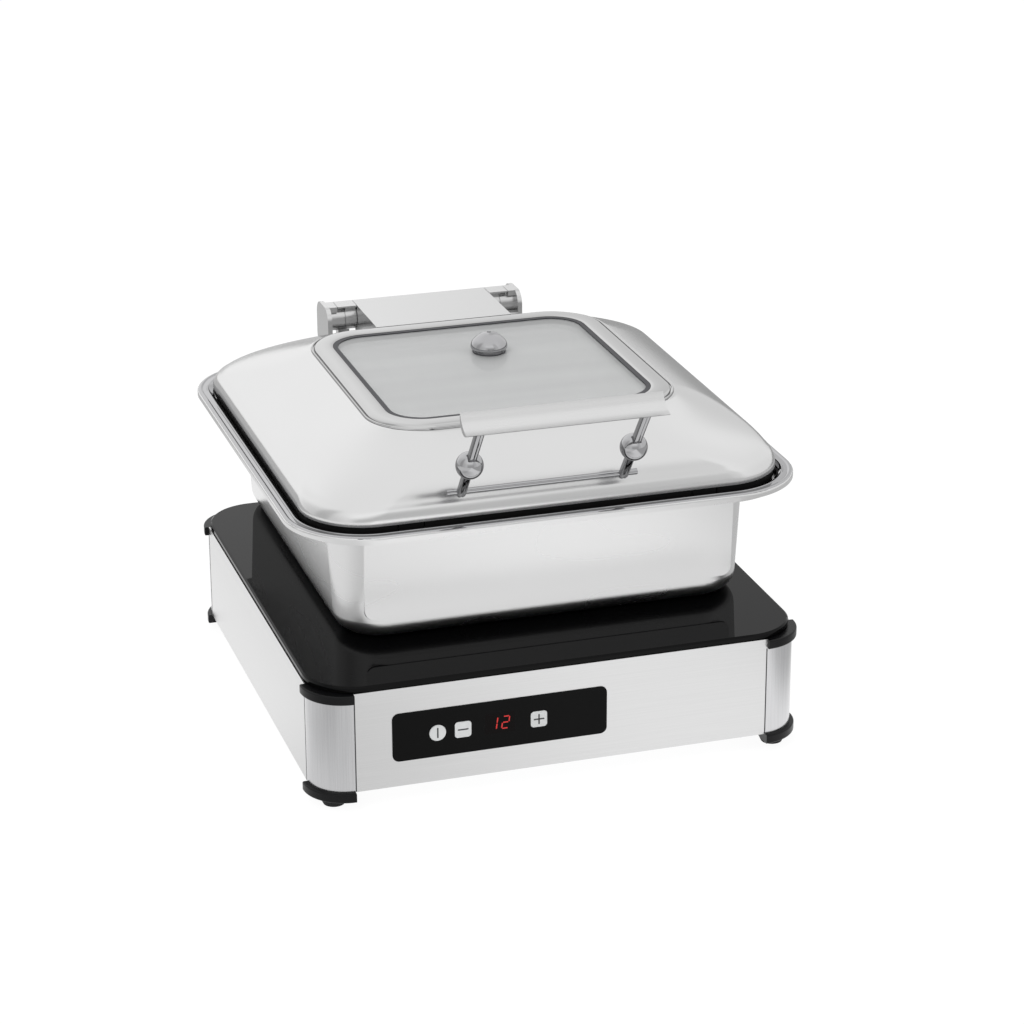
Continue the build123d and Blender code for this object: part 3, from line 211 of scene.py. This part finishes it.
# Metals: colour, roughness from and to, grain, relief in metres, depth of colour, detail.
# Moulded pieces: colour, roughness from and to, size of a grain patch and relief in metres.
finishes = {
    "brushed_panel": grained_metal("brushed_panel", (0.74, 0.74, 0.74), (0.27, 0.37), LEVEL, 4e-6),
    "satin_post": grained_metal("satin_post", (0.66, 0.66, 0.67), (0.12, 0.26), UPRIGHT, 6e-6, 0.13),
    "cap_plastic": moulded("cap_plastic", (0.004, 0.004, 0.0045), (0.24, 0.34), 0.0006, 1e-5, Specular_IOR_Level=0.22),
    "foot_rubber": moulded("foot_rubber", (0.008, 0.008, 0.009), (0.6, 0.75), 0.0008, 3e-5, Specular_IOR_Level=0.3),
    "plated_screw": polished_metal("plated_screw", (0.58, 0.58, 0.59), (0.18, 0.28)),
    "floor_sheet": grained_metal("floor_sheet", (0.52, 0.53, 0.55), (0.35, 0.5), (90.0, 90.0, 90.0), 3e-6),
    "black_glass": black_glass(),
    "black_silicone": moulded(
        "black_silicone", (0.004, 0.004, 0.004), (0.5, 0.62), 0.0007, 1e-5, Specular_IOR_Level=0.2),
    "film_black": moulded("film_black", (0.003, 0.003, 0.003), (0.28, 0.34), 0.0005, 4e-6, Specular_IOR_Level=0.09),
    "display_smoke": moulded("display_smoke", (0.003, 0.002, 0.002), (0.2, 0.3), 0.004, 1e-6, Specular_IOR_Level=0.09),
    "led_red": lit_red(),
    "key_grey": moulded("key_grey", (0.72, 0.73, 0.73), (0.36, 0.46), 0.0005, 6e-6),
    "board_green": moulded("board_green", (0.02, 0.15, 0.07), (0.25, 0.4), 0.002, 2e-5),
    "component_dark": moulded("component_dark", (0.03, 0.03, 0.033), (0.35, 0.5), 0.0006, 1e-5),
    "copper_litz": grained_metal("copper_litz", (0.60, 0.29, 0.15), (0.3, 0.45), (300.0, 300.0, 300.0), 2e-5),
    "carrier_white": moulded("carrier_white", (0.72, 0.71, 0.67), (0.45, 0.6), 0.0008, 1e-5),
    "ferrite_grey": moulded("ferrite_grey", (0.08, 0.08, 0.09), (0.6, 0.75), 0.0006, 2e-5),
    "mica_sheet": moulded("mica_sheet", (0.68, 0.64, 0.56), (0.4, 0.6), 0.003, 1e-5),
    "sink_aluminium": grained_metal("sink_aluminium", (0.74, 0.75, 0.77), (0.3, 0.42), CROSSWISE, 5e-6),
    "fan_black": moulded("fan_black", (0.018, 0.018, 0.018), (0.4, 0.52), 0.0006, 1e-5),
    "pan_steel": grained_metal("pan_steel", (0.80, 0.80, 0.80), (0.26, 0.30), SOFT, 0.0, 0.015, 0.0),
    "food_steel": grained_metal("food_steel", (0.76, 0.76, 0.76), (0.36, 0.46), LEVEL, 3e-6, 0.04),
    "lid_steel": grained_metal("lid_steel", (0.80, 0.80, 0.80), (0.17, 0.21), SOFT, 0.0, 0.015, 0.0),
    "frame_polished": polished_metal("frame_polished", (0.63, 0.63, 0.63), (0.03, 0.07)),
    "gasket_grey": moulded("gasket_grey", (0.055, 0.055, 0.06), (0.45, 0.55), 0.0007, 1e-5, Specular_IOR_Level=0.3),
    "clear_glass": clear_glass(),
    "chrome_trim": polished_metal("chrome_trim", (0.50, 0.50, 0.51), (0.03, 0.07)),
    "grip_brushed": grained_metal("grip_brushed", (0.80, 0.80, 0.80), (0.25, 0.28), CROSSWISE, 2e-7, 0.01),
    "hinge_brushed": grained_metal("hinge_brushed", (0.76, 0.76, 0.76), (0.21, 0.25), CROSSWISE, 2e-7, 0.01),
    "pin_steel": polished_metal("pin_steel", (0.5, 0.5, 0.5), (0.15, 0.25)),
}
for part in frame["record"]["subparts"]:
    part_mesh = nodes[part["node"]].data
    part_mesh.materials.clear()
    part_mesh.materials.append(finishes[part["material_slot"]])


# ================================================================ meshes
CORNERS = ((1, 1), (-1, 1), (-1, -1), (1, -1))
CORNER_STEPS = 20
SHARP = math.radians(32)


def rounded_loop(centre, width, depth, radius, z):
    """Points round a rounded rectangle, starting at the right side's rear corner."""
    points = []
    for turn, (side_x, side_y) in enumerate(CORNERS):
        middle_x = centre[0] + side_x * (width / 2 - radius)
        middle_y = centre[1] + side_y * (depth / 2 - radius)
        for step in range(CORNER_STEPS + 1):
            angle = math.pi / 2 * (turn + step / CORNER_STEPS)
            points.append((middle_x + radius * math.cos(angle), middle_y + radius * math.sin(angle), z))
    return points


def mesh_object(name, points, faces, material, smooth=False):
    """A new mesh object in the scene; a smooth one keeps its sharp edges."""
    mesh = bpy.data.meshes.new(name)
    mesh.from_pydata(points, [], faces)
    mesh.validate()
    if smooth:
        mesh.shade_smooth()
        mesh.set_sharp_from_angle(angle=SHARP)
    mesh.materials.append(material)
    piece = bpy.data.objects.new(name, mesh)
    bpy.context.scene.collection.objects.link(piece)
    return piece


def skin(name, loops, body, slot, stands_for=None):
    """A closed band of quads through loops of equal length, the last joined to the first."""
    count = len(loops[0])
    points = [point for loop in loops for point in loop]
    faces = []
    for row in range(len(loops)):
        after = (row + 1) % len(loops)
        for i in range(count):
            j = (i + 1) % count
            faces.append((row * count + i, row * count + j, after * count + j, after * count + i))
    piece = mesh_object(name, points, faces, finishes[slot], smooth=True)
    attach(piece, body)
    if stands_for:
        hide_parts(stands_for)


def middle(node):
    """Centre of a CAD node's box, seen from above."""
    low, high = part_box(node)
    return ((low.x + high.x) / 2, (low.y + high.y) / 2)


# ---------------------------------------------------------------- lid
DOME_POWER = 2.0
DOME_STEPS = 48
HIP_SWELL = 28 * MM       # how much rounder the dome's corners get half way up
LID_WALL = 1.0 * MM
LID_FLANGE = 9.5 * MM
LID_RADIUS = 54 * MM
PLATEAU_RADIUS = 48 * MM
OPENING_RADIUS = 36 * MM
FRAME_INSET = 1.0 * MM    # window frame's edge inside the flat round the window
SKIRT = 3.0 * MM          # how far the lid's opening reaches past the gasket, on each side
LIP_TURN = 0.8 * MM       # small radius at the lid's lower edge
HEM = 2.2 * MM            # how far the turned hem hangs below the flange
HEM_WALL = 1.2 * MM
HEM_ROUND = 0.3 * MM      # height of the hem's rounded lower edge
HEM_LIP = 0.2 * MM        # how far that rounding starts behind the lid's edge
HEM_PROFILE = (           # behind the lid's edge, and below the flange
    (HEM_WALL, 0.0), (HEM_WALL, HEM - HEM_ROUND), (HEM_WALL / 2, HEM), (HEM_LIP, HEM - HEM_ROUND),
    (0.0, HEM - LIP_TURN),
)
CREASE_FROM = 0.17        # share of the height where the drawn edge band ends in a soft crease
CREASE_TO = 0.25
CREASE_DEPTH = 0.7 * MM

lid_low, lid_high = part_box("lid_shell")
frame_low, frame_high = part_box("window_frame")
gasket_low, gasket_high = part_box("window_gasket")
lid_middle = middle("lid_shell")
window_middle = middle("window_frame")
lid_size = (lid_high.x - lid_low.x, lid_high.y - lid_low.y)
plateau_size = (frame_high.x - frame_low.x + 2 * FRAME_INSET, frame_high.y - frame_low.y + 2 * FRAME_INSET)
opening_size = (gasket_high.x - gasket_low.x + 2 * SKIRT, gasket_high.y - gasket_low.y + 2 * SKIRT)
plateau_z = lid_high.z


def dome_loop(share, shrink, low, high):
    """One level section of the dome, smaller than the outside by shrink."""
    inset = share ** DOME_POWER
    sizes = [side + (top - side) * inset - 2 * shrink for side, top in zip(lid_size, plateau_size)]
    swell = HIP_SWELL * 4 * inset * (1 - inset)
    radius = LID_RADIUS + (PLATEAU_RADIUS - LID_RADIUS) * inset + swell - shrink
    centre = [side + (top - side) * inset for side, top in zip(lid_middle, window_middle)]
    return rounded_loop(centre, *sizes, radius, low + (high - low) * share)


def crease(share):
    """How far the dome lies behind its edge band at a share of the height."""
    along = min(1.0, max(0.0, (share - CREASE_FROM) / (CREASE_TO - CREASE_FROM)))
    fade = 1 - max(0.0, (share - CREASE_TO) / (1 - CREASE_TO))
    return CREASE_DEPTH * along * along * (3 - 2 * along) * fade


def lid():
    """The lid's shell: turned hem, dome outside, window opening, dome inside and the flange under its edge."""
    shares = [step / DOME_STEPS for step in range(DOME_STEPS + 1)]
    hem = [dome_loop(0, shrink, lid_low.z - drop, lid_low.z) for shrink, drop in HEM_PROFILE]
    outside = [dome_loop(share, crease(share), lid_low.z, plateau_z) for share in shares]
    opening = [rounded_loop(window_middle, *opening_size, OPENING_RADIUS, z) for z in (plateau_z, plateau_z - LID_WALL)]
    inside = [dome_loop(share, LID_WALL + crease(share), lid_low.z + LID_WALL, plateau_z - LID_WALL)
              for share in reversed(shares)]
    flange = [
        rounded_loop(lid_middle, lid_size[0] - 2 * LID_FLANGE, lid_size[1] - 2 * LID_FLANGE, LID_RADIUS - LID_FLANGE, z)
        for z in (lid_low.z + LID_WALL, lid_low.z)
    ]
    skin("lid_skin", hem + outside + opening + inside + flange, "lid", "lid_steel", "lid_shell")


lid()


# ---------------------------------------------------------------- window frame
FRAME_RADIUS = 33 * MM    # of the corners where the frame meets the gasket's edge
FRAME_BAND = 16.7         # from the flat's edge to the gasket's, in millimetres
FRAME_SKIRT = 2.9         # how far the frame's skirt reaches out from the gasket, in millimetres
FRAME_PROFILE = (         # inside the flat's edge, and above the flat, in millimetres
    (1.0, 0.0), (1.0, 0.9), (1.3, 1.5), (2.0, 1.7), (2.6, 1.5), (2.8, 0.5), (3.5, 0.4), (3.8, 1.2), (4.2, 2.1),
    (5.0, 2.8), (6.4, 3.3), (8.4, 3.5), (10.6, 3.6), (13.0, 3.6), (16.0, 3.5), (18.0, 3.35), (18.8, 3.15), (19.1, 2.95),
    (16.7, 2.9),
)


def window_frame():
    """The polished frame: a bead, a groove and a crowned band over the gasket's edge, and a skirt down inside."""
    band = (plateau_size[0] - (gasket_high.x - gasket_low.x)) / 2
    under = (frame_low.z - plateau_z) / MM
    skirt_out = FRAME_BAND - FRAME_SKIRT
    loops = []
    for inset, rise in (*FRAME_PROFILE, (FRAME_BAND, under), (skirt_out, under), (skirt_out, 0.0)):
        share = inset / FRAME_BAND
        radius = PLATEAU_RADIUS + (FRAME_RADIUS - PLATEAU_RADIUS) * share
        size = [side - 2 * band * share for side in plateau_size]
        loops.append(rounded_loop(window_middle, *size, radius, plateau_z + rise * MM))
    skin("window_frame_skin", loops, "lid", "frame_polished", "window_frame")


window_frame()


# ---------------------------------------------------------------- pan's rim
RIM_RADIUS = 66 * MM
RIM_PROFILE = (           # inside the rim's edge, and above its top, in millimetres: bead, flat, small bead, slope
    (0.9, -0.25), (0.9, 0.0), (1.4, 0.4), (2.1, 0.75), (2.9, 0.85), (3.7, 0.7), (4.3, 0.3), (4.6, 0.06), (8.0, 0.06),
    (8.3, 0.4), (8.8, 0.5), (9.3, 0.35), (9.7, -0.3), (11.4, -1.5), (13.2, -2.6), (13.2, -2.9), (11.2, -1.8),
    (9.2, -0.5), (8.6, -0.25),
)


def rim_trim():
    """The rim's bead, flat and small bead, and the slope from them down into the gutter."""
    low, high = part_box("water_pan")
    centre = middle("water_pan")
    loops = [
        rounded_loop(centre, high.x - low.x - 2 * inset * MM, high.y - low.y - 2 * inset * MM, RIM_RADIUS - inset * MM,
                     high.z + rise * MM)
        for inset, rise in RIM_PROFILE
    ]
    skin("rim_trim", loops, body_of(nodes["water_pan"])[0], "chrome_trim")


rim_trim()


# ---------------------------------------------------------------- knob
TURN_STEPS = 48
# painted shade: the next two profiles are dark rings standing in for the shaded inside of the steam hole on top and the
# shade round the knob's neck on the glass
HOLE_SHADE = ((0.3, -0.6), (0.3, -0.02), (1.7, -0.02), (1.7, -0.6))     # radius, and above the knob's top, in millimetres
NECK_SHADE = ((4.0, 0.05), (4.0, 0.7), (1.6, 0.7), (1.6, 0.05))           # inside the knob's edge, and above its foot


def turned(name, centre, profile, body, slot):
    """A closed ring turned round an upright axis; profile is (radius, height) pairs."""
    turns = [2 * math.pi * i / TURN_STEPS for i in range(TURN_STEPS)]
    loops = [[(centre[0] + radius * math.cos(angle), centre[1] + radius * math.sin(angle), z) for angle in turns]
             for radius, z in profile]
    skin(name, loops, body, slot)


def knob_shades():
    """Painted shade on the knob: a dark ring standing in for the shaded inside of the steam hole on top, and a dark
    ring for the shade round its neck where it stands on the glass.
    """
    low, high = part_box("vent_knob")
    centre = middle("vent_knob")
    reach = (high.x - low.x) / 2
    hole_shade = [(radius * MM, high.z + rise * MM) for radius, rise in HOLE_SHADE]
    ring = [(reach - inset * MM, low.z + rise * MM) for inset, rise in NECK_SHADE]
    turned("knob_hole_shade", centre, hole_shade, "lid", "gasket_grey")
    turned("knob_neck_shade", centre, ring, "lid", "gasket_grey")


knob_shades()


# ---------------------------------------------------------------- handle rods
ROD_SIDE = 7 * MM
ROD_ROUNDING = 2.3 * MM
ROD_STEPS = 6             # in each rounded corner
ROD_LEAN = math.radians(37.4)
GROOVE_DEPTH = 0.55 * MM
GROOVE_HALF = 0.6 * MM    # half the width of the groove along the front


def rod_section():
    """A rod's section: a rounded square with a shallow groove along its front, as (across, forward) points."""
    section = []
    inner = ROD_SIDE / 2 - ROD_ROUNDING
    front = -ROD_SIDE / 2
    for turn, (side_x, side_y) in enumerate(CORNERS):
        for step in range(ROD_STEPS + 1):
            angle = math.pi / 2 * (turn + step / ROD_STEPS)
            across = side_x * inner + ROD_ROUNDING * math.cos(angle)
            section.append((across, side_y * inner + ROD_ROUNDING * math.sin(angle)))
        if turn == 2:
            section += [(-GROOVE_HALF, front), (0.0, front + GROOVE_DEPTH), (GROOVE_HALF, front)]
    return section


def rods():
    """Both rods, between the lid and the grip."""
    low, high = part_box("handle_rods")
    along = Vector((0.0, -math.sin(ROD_LEAN), math.cos(ROD_LEAN)))
    forward = Vector((0.0, math.cos(ROD_LEAN), math.sin(ROD_LEAN)))
    half = ROD_SIDE / 2
    foot_y = high.y - half * math.cos(ROD_LEAN)
    foot_z = low.z + half * math.sin(ROD_LEAN)
    length = (high.z - half * math.sin(ROD_LEAN) - foot_z) / along.z
    section = rod_section()
    count = len(section)
    points, faces = [], []
    for centre_x in (low.x + half, high.x - half):
        first = len(points)
        for reach in (0.0, length):
            for across, ahead in section:
                points.append(Vector((centre_x + across, foot_y, foot_z)) + along * reach + forward * ahead)
        faces += [tuple(first + i for i in reversed(range(count))), tuple(first + count + i for i in range(count))]
        faces += [(first + i, first + (i + 1) % count, first + count + (i + 1) % count, first + count + i)
                  for i in range(count)]
    piece = mesh_object("rod_skins", points, faces, finishes["chrome_trim"], smooth=True)
    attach(piece, "lid")
    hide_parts("handle_rods")


rods()


# ---------------------------------------------------------------- painted shade in the gaps beside the corner posts
GAP_SHADE_WIDTH = 0.9 * MM
GAP_SHADE_PROUD = 0.12 * MM
GAP_SHADE_END = 0.4 * MM       # left free above and below


def gap_shade(panel, axis, end, outward):
    """Painted shade for the gap between a panel's end and the corner post beside it, as a thin dark strip along the
    panel's edge.

    axis is 0 for a panel along x and 1 for one along y, end is 1 for its far end, and outward is 1 where its face
    looks towards the axis's far side.
    """
    low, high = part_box(panel)
    post_low, post_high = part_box("corner_post_front_left")
    other = 1 - axis
    edge = high[axis] - GAP_SHADE_WIDTH if end else low[axis]
    face = high[other] if outward else low[other]
    points = []
    for z in (post_low.z + GAP_SHADE_END, post_high.z - GAP_SHADE_END):
        for along, out in ((0, -1), (1, -1), (1, 1), (0, 1)):
            place = [0.0, 0.0, z]
            place[axis] = edge + along * GAP_SHADE_WIDTH
            place[other] = face + out * GAP_SHADE_PROUD
            points.append(place)
    faces = [(3, 2, 1, 0), (4, 5, 6, 7)] + [(i, (i + 1) % 4, 4 + (i + 1) % 4, 4 + i) for i in range(4)]
    strip = mesh_object(f"{panel}_seam_{end + 1}", points, faces, finishes["component_dark"])
    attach(strip, body_of(nodes[panel])[0])


for panel, axis, outward in (("front_panel", 0, 0), ("rear_panel", 0, 1), ("left_panel", 1, 0), ("right_panel", 1, 1)):
    for end in (0, 1):
        gap_shade(panel, axis, end, outward)


# ================================================================ signs on the keys
SIGN_LENGTH = 8.8 * MM
SIGN_WIDTH = 1.15 * MM
SIGN_DEPTH = 0.05 * MM
SIGN_ROUNDING = 6         # steps round each end of a stroke


def sign(key, upright, level):
    """A printed stroke or cross on a key's face, as one thin rounded piece for each stroke."""
    low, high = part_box(key)
    centre = ((low.x + high.x) / 2, (low.z + high.z) / 2)
    for name, wanted, turn in (("upright", upright, math.pi / 2), ("level", level, 0.0)):
        if not wanted:
            continue
        outline = []
        for end in (0, 1):
            for step in range(SIGN_ROUNDING + 1):
                angle = math.pi * (end + step / SIGN_ROUNDING) - math.pi / 2
                reach = (SIGN_LENGTH - SIGN_WIDTH) / 2 * (1 - 2 * end)
                along = reach + SIGN_WIDTH / 2 * math.cos(angle)
                across = SIGN_WIDTH / 2 * math.sin(angle)
                outline.append((along * math.cos(turn) - across * math.sin(turn),
                                along * math.sin(turn) + across * math.cos(turn)))
        count = len(outline)
        points = [(centre[0] + x, low.y + y, centre[1] + z) for y in (0.0, -SIGN_DEPTH) for x, z in outline]
        faces = [tuple(range(count)), tuple(range(2 * count - 1, count - 1, -1))]
        faces += [(i, (i + 1) % count, count + (i + 1) % count, count + i) for i in range(count)]
        stroke = mesh_object(f"{key}_{name}_stroke", points, faces, finishes["component_dark"])
        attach(stroke, key)


sign("power_key", True, False)
sign("minus_key", False, True)
sign("plus_key", True, True)


# ================================================================ studio
FLOOR_SIZE = 30.0
FLOOR_GLOW = 0.9          # share of the floor's white that doesn't depend on the lamps
FLOOR_WHITE = 1.05        # strength of that white, which makes up for the lamps' falloff
WORLD_LIGHT = 0.6         # light from all round that falls on surfaces
SECOND_GLOSS = 0.5        # share left in a reflection of a reflection
SECOND_DEPTH = (1.4, 1.6)           # glossy depth between a reflection and the next

# What metal mirrors of the room, by direction, each part of which is -1 to 1.
OVERHEAD = 0.90           # how bright it is from above
ROOM_TOP = (0.6, 0.95)
FRONT_DARK = 0.45         # how much darker low in front, where the room is open
OPENING_TOP = (0.2, 0.6)
OPENING_LEFT = (-0.75, -0.4)
OPENING_RIGHT = (0.2, 0.5)
OPENING_BACK = (-0.5, 0.0)
SIDE_LEFT = 0.68          # how bright it is at the far left and right
SIDE_RIGHT = 0.82
ROOM_LEFT = (-0.95, -0.4)
ROOM_RIGHT = (0.4, 0.95)
STRIPS = 3                # grey strips round the room, between its lamps
STRIP_DARK = 0.25
STRIP_EDGE = (-0.95, -0.6)          # cosine from a strip's middle to its edge
STRIP_TOP = (0.75, 0.95)

# What metal mirrors of the floor, by place in metres.
CLOTH = 0.36              # how much darker in front on the left, as if a grey cloth lay there
CLOTH_PLACE = (-0.30, -0.40, 0.0)
CLOTH_REACH = (0.05, 0.42)
FLOOR_RIGHT = 0.5         # how bright it is on the right
RIGHT_FROM = (0.22, 0.36)
FLOOR_LEFT = 0.8          # on the left
LEFT_FROM = (-0.36, -0.24)
FLOOR_BACK = 0.55         # and far back
BACK_FROM = (0.45, 0.7)


def math_node(tree, operation, first, second):
    """A math node fed by a socket or a number in each input."""
    node = tree.nodes.new("ShaderNodeMath")
    node.operation = operation
    for socket, value in zip(node.inputs, (first, second)):
        if isinstance(value, (int, float)):
            socket.default_value = value
        else:
            tree.links.new(value, socket)
    return node.outputs[0]


def times(tree, first, second):
    """The product of two values, each a socket or a number."""
    return math_node(tree, "MULTIPLY", first, second)


def ramp(tree, value, span, low, high):
    """A soft step from low to high while value crosses the span."""
    node = add_node(tree, "ShaderNodeMapRange", From_Min=span[0], From_Max=span[1], To_Min=low, To_Max=high)
    node.interpolation_type = "SMOOTHSTEP"
    tree.links.new(value, node.inputs["Value"])
    return node.outputs["Result"]


def stepped(tree, value, steps):
    """A value times a soft step for each (socket, span, low, high)."""
    for along, span, low, high in steps:
        value = times(tree, value, ramp(tree, along, span, low, high))
    return value


def mix_values(tree, low, high, share):
    """low where share is 0 and high where it is 1; each may be a socket or a number."""
    kept = times(tree, low, math_node(tree, "SUBTRACT", 1.0, share))
    return math_node(tree, "ADD", kept, times(tree, high, share))


def show_mixed(tree, share, first, second):
    """Show the first shader where share is 0 and the second where it is 1."""
    mix = tree.nodes.new("ShaderNodeMixShader")
    tree.links.new(share, mix.inputs["Fac"])
    tree.links.new(first, mix.inputs[1])
    tree.links.new(second, mix.inputs[2])
    tree.links.new(mix.outputs["Shader"], tree.nodes["Material Output"].inputs["Surface"])


def split_place(tree, space):
    """The three parts of a place or direction, from an output of the texture coordinates."""
    place = tree.nodes.new("ShaderNodeTexCoord")
    split = tree.nodes.new("ShaderNodeSeparateXYZ")
    tree.links.new(place.outputs[space], split.inputs[0])
    return split.outputs


def world():
    """White where it is seen; metal mirrors a room that is darker low in front and at its sides, with grey strips."""
    space = bpy.data.worlds.new("studio")
    bpy.context.scene.world = space
    space.use_nodes = True
    tree = space.node_tree
    path = tree.nodes.new("ShaderNodeLightPath")
    side, back, height = split_place(tree, "Generated")
    opening = stepped(tree, ramp(tree, height, OPENING_TOP, 1.0, 0.0), (
        (side, OPENING_LEFT, 0.0, 1.0), (side, OPENING_RIGHT, 1.0, 0.0), (back, OPENING_BACK, 1.0, 0.0)))
    room = stepped(tree, math_node(tree, "SUBTRACT", 1.0, times(tree, opening, FRONT_DARK)), (
        (height, ROOM_TOP, 1.0, OVERHEAD), (side, ROOM_LEFT, SIDE_LEFT, 1.0), (side, ROOM_RIGHT, 1.0, SIDE_RIGHT)))
    turns = times(tree, math_node(tree, "ARCTAN2", back, side), STRIPS)
    strip = ramp(tree, math_node(tree, "COSINE", turns, 0.0), STRIP_EDGE, STRIP_DARK, 0.0)
    strip = stepped(tree, strip, ((height, STRIP_TOP, 1.0, 0.0),))
    room = times(tree, room, math_node(tree, "SUBTRACT", 1.0, strip))
    mirrored = stepped(tree, room, ((path.outputs["Glossy Depth"], SECOND_DEPTH, 1.0, SECOND_GLOSS),))
    direct = math_node(tree, "MAXIMUM", path.outputs["Is Camera Ray"], path.outputs["Is Transmission Ray"])
    level = mix_values(tree, WORLD_LIGHT, mirrored, path.outputs["Is Glossy Ray"])
    level = mix_values(tree, level, 1.0, direct)
    tree.links.new(level, tree.nodes["Background"].inputs["Strength"])
    tree.nodes["Background"].inputs["Color"].default_value = (1.0, 1.0, 1.0, 1.0)


def floor():
    """The pale floor, which keeps a soft shadow; metal mirrors it greyer at the sides, far back and at the cloth."""
    material, shader = surface("studio_floor", (0.95, 0.95, 0.95), 0.0, 0.9)
    material.cycles.emission_sampling = "NONE"
    tree = material.node_tree
    path = tree.nodes.new("ShaderNodeLightPath")
    place = tree.nodes.new("ShaderNodeTexCoord")
    away = tree.nodes.new("ShaderNodeVectorMath")
    away.operation = "DISTANCE"
    away.inputs[1].default_value = CLOTH_PLACE
    tree.links.new(place.outputs["Object"], away.inputs[0])
    side, back, _ = split_place(tree, "Object")
    mirrored = stepped(tree, ramp(tree, path.outputs["Glossy Depth"], SECOND_DEPTH, 1.0, SECOND_GLOSS), (
        (away.outputs["Value"], CLOTH_REACH, 1 - CLOTH, 1.0), (side, RIGHT_FROM, 1.0, FLOOR_RIGHT),
        (side, LEFT_FROM, FLOOR_LEFT, 1.0), (back, BACK_FROM, 1.0, FLOOR_BACK)))
    level = mix_values(tree, 1.0, mirrored, path.outputs["Is Glossy Ray"])
    glow = tree.nodes.new("ShaderNodeEmission")
    tree.links.new(times(tree, level, FLOOR_WHITE), glow.inputs["Strength"])
    seen = math_node(tree, "MAXIMUM", path.outputs["Is Camera Ray"], path.outputs["Is Transmission Ray"])
    seen = math_node(tree, "MAXIMUM", seen, path.outputs["Is Glossy Ray"])
    show_mixed(tree, times(tree, seen, FLOOR_GLOW), shader.outputs["BSDF"], glow.outputs["Emission"])
    half = FLOOR_SIZE / 2
    plane = mesh_object("studio_floor", [(x * half, y * half, 0) for x, y in ((-1, -1), (1, -1), (1, 1), (-1, 1))],
                        [(0, 1, 2, 3)], material)


CARD_ABOVE = 0.3 * MM
CARD_AGAIN = 0.05         # share of a card's light in a reflection of a reflection
CARDS = (                 # name; left, right, front and back in metres; light
    ("front_card", -0.205, 0.180, -0.228, -0.170, 0.86),
    ("left_card", -0.205, -0.180, -0.170, 0.160, 0.4),
)


def card(name, left, right, front, back, light):
    """A bright card lying on the glass, which only reflections show; from below it isn't there."""
    material = bpy.data.materials.new(name)
    material.use_nodes = True
    material.cycles.emission_sampling = "NONE"
    tree = material.node_tree
    tree.nodes.remove(tree.nodes["Principled BSDF"])
    path = tree.nodes.new("ShaderNodeLightPath")
    place = tree.nodes.new("ShaderNodeNewGeometry")
    above = tree.nodes.new("ShaderNodeEmission")
    below = tree.nodes.new("ShaderNodeBsdfTransparent")
    strength = ramp(tree, path.outputs["Glossy Depth"], SECOND_DEPTH, light, light * CARD_AGAIN)
    tree.links.new(strength, above.inputs["Strength"])
    show_mixed(tree, place.outputs["Backfacing"], above.outputs["Emission"], below.outputs["BSDF"])
    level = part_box("glass_top")[1].z + CARD_ABOVE
    outline = ((left, front), (right, front), (right, back), (left, back))
    piece = mesh_object(name, [(x, y, level) for x, y in outline], [(0, 1, 2, 3)], material)
    for kind in ("camera", "diffuse", "transmission", "volume_scatter", "shadow"):
        setattr(piece, f"visible_{kind}", False)


LAMP_AIM = (0.0, 0.0, 0.15)
LAMPS = (                 # name, place, side in metres, watts
    ("key_lamp", (-1.6, -1.2, 2.4), 1.4, 26.0),
    ("fill_lamp", (2.2, -1.4, 1.5), 1.6, 10.0),
    ("top_lamp", (0.2, 0.9, 2.6), 1.8, 16.0),
)


def lamp(name, place, size, power):
    """A square soft lamp that faces the object, and that metal doesn't mirror."""
    light = bpy.data.lights.new(name, "AREA")
    light.size = size
    light.energy = power
    lamp_object = bpy.data.objects.new(name, light)
    lamp_object.location = place
    lamp_object.rotation_euler = (Vector(LAMP_AIM) - Vector(place)).to_track_quat("-Z", "Y").to_euler()
    lamp_object.visible_glossy = False
    bpy.context.scene.collection.objects.link(lamp_object)


world()
floor()
for card_row in CARDS:
    card(*card_row)
for lamp_row in LAMPS:
    lamp(*lamp_row)


# ================================================================ camera
CAMERA_PLACE = (-0.6963, -2.2844, 1.0697)
CAMERA_YAW = math.radians(17.43)
CAMERA_PITCH = math.radians(21.31)
CAMERA_ROLL = math.radians(-0.23)
LENS = 107.53
SENSOR = 36.0

ahead = Vector((math.sin(CAMERA_YAW) * math.cos(CAMERA_PITCH), math.cos(CAMERA_YAW) * math.cos(CAMERA_PITCH),
                -math.sin(CAMERA_PITCH)))
level_right = Vector((math.cos(CAMERA_YAW), -math.sin(CAMERA_YAW), 0.0))
level_up = level_right.cross(ahead)
right = level_right * math.cos(CAMERA_ROLL) + level_up * math.sin(CAMERA_ROLL)
up = level_up * math.cos(CAMERA_ROLL) - level_right * math.sin(CAMERA_ROLL)
camera_data = bpy.data.cameras.new("camera")
camera_data.lens = LENS
camera_data.sensor_width = SENSOR
camera = bpy.data.objects.new("camera", camera_data)
camera.matrix_world = Matrix.Translation(CAMERA_PLACE) @ Matrix((right, up, -ahead)).transposed().to_4x4()
bpy.context.scene.collection.objects.link(camera)
bpy.context.scene.camera = camera
bpy.context.scene.view_settings.view_transform = "Standard"
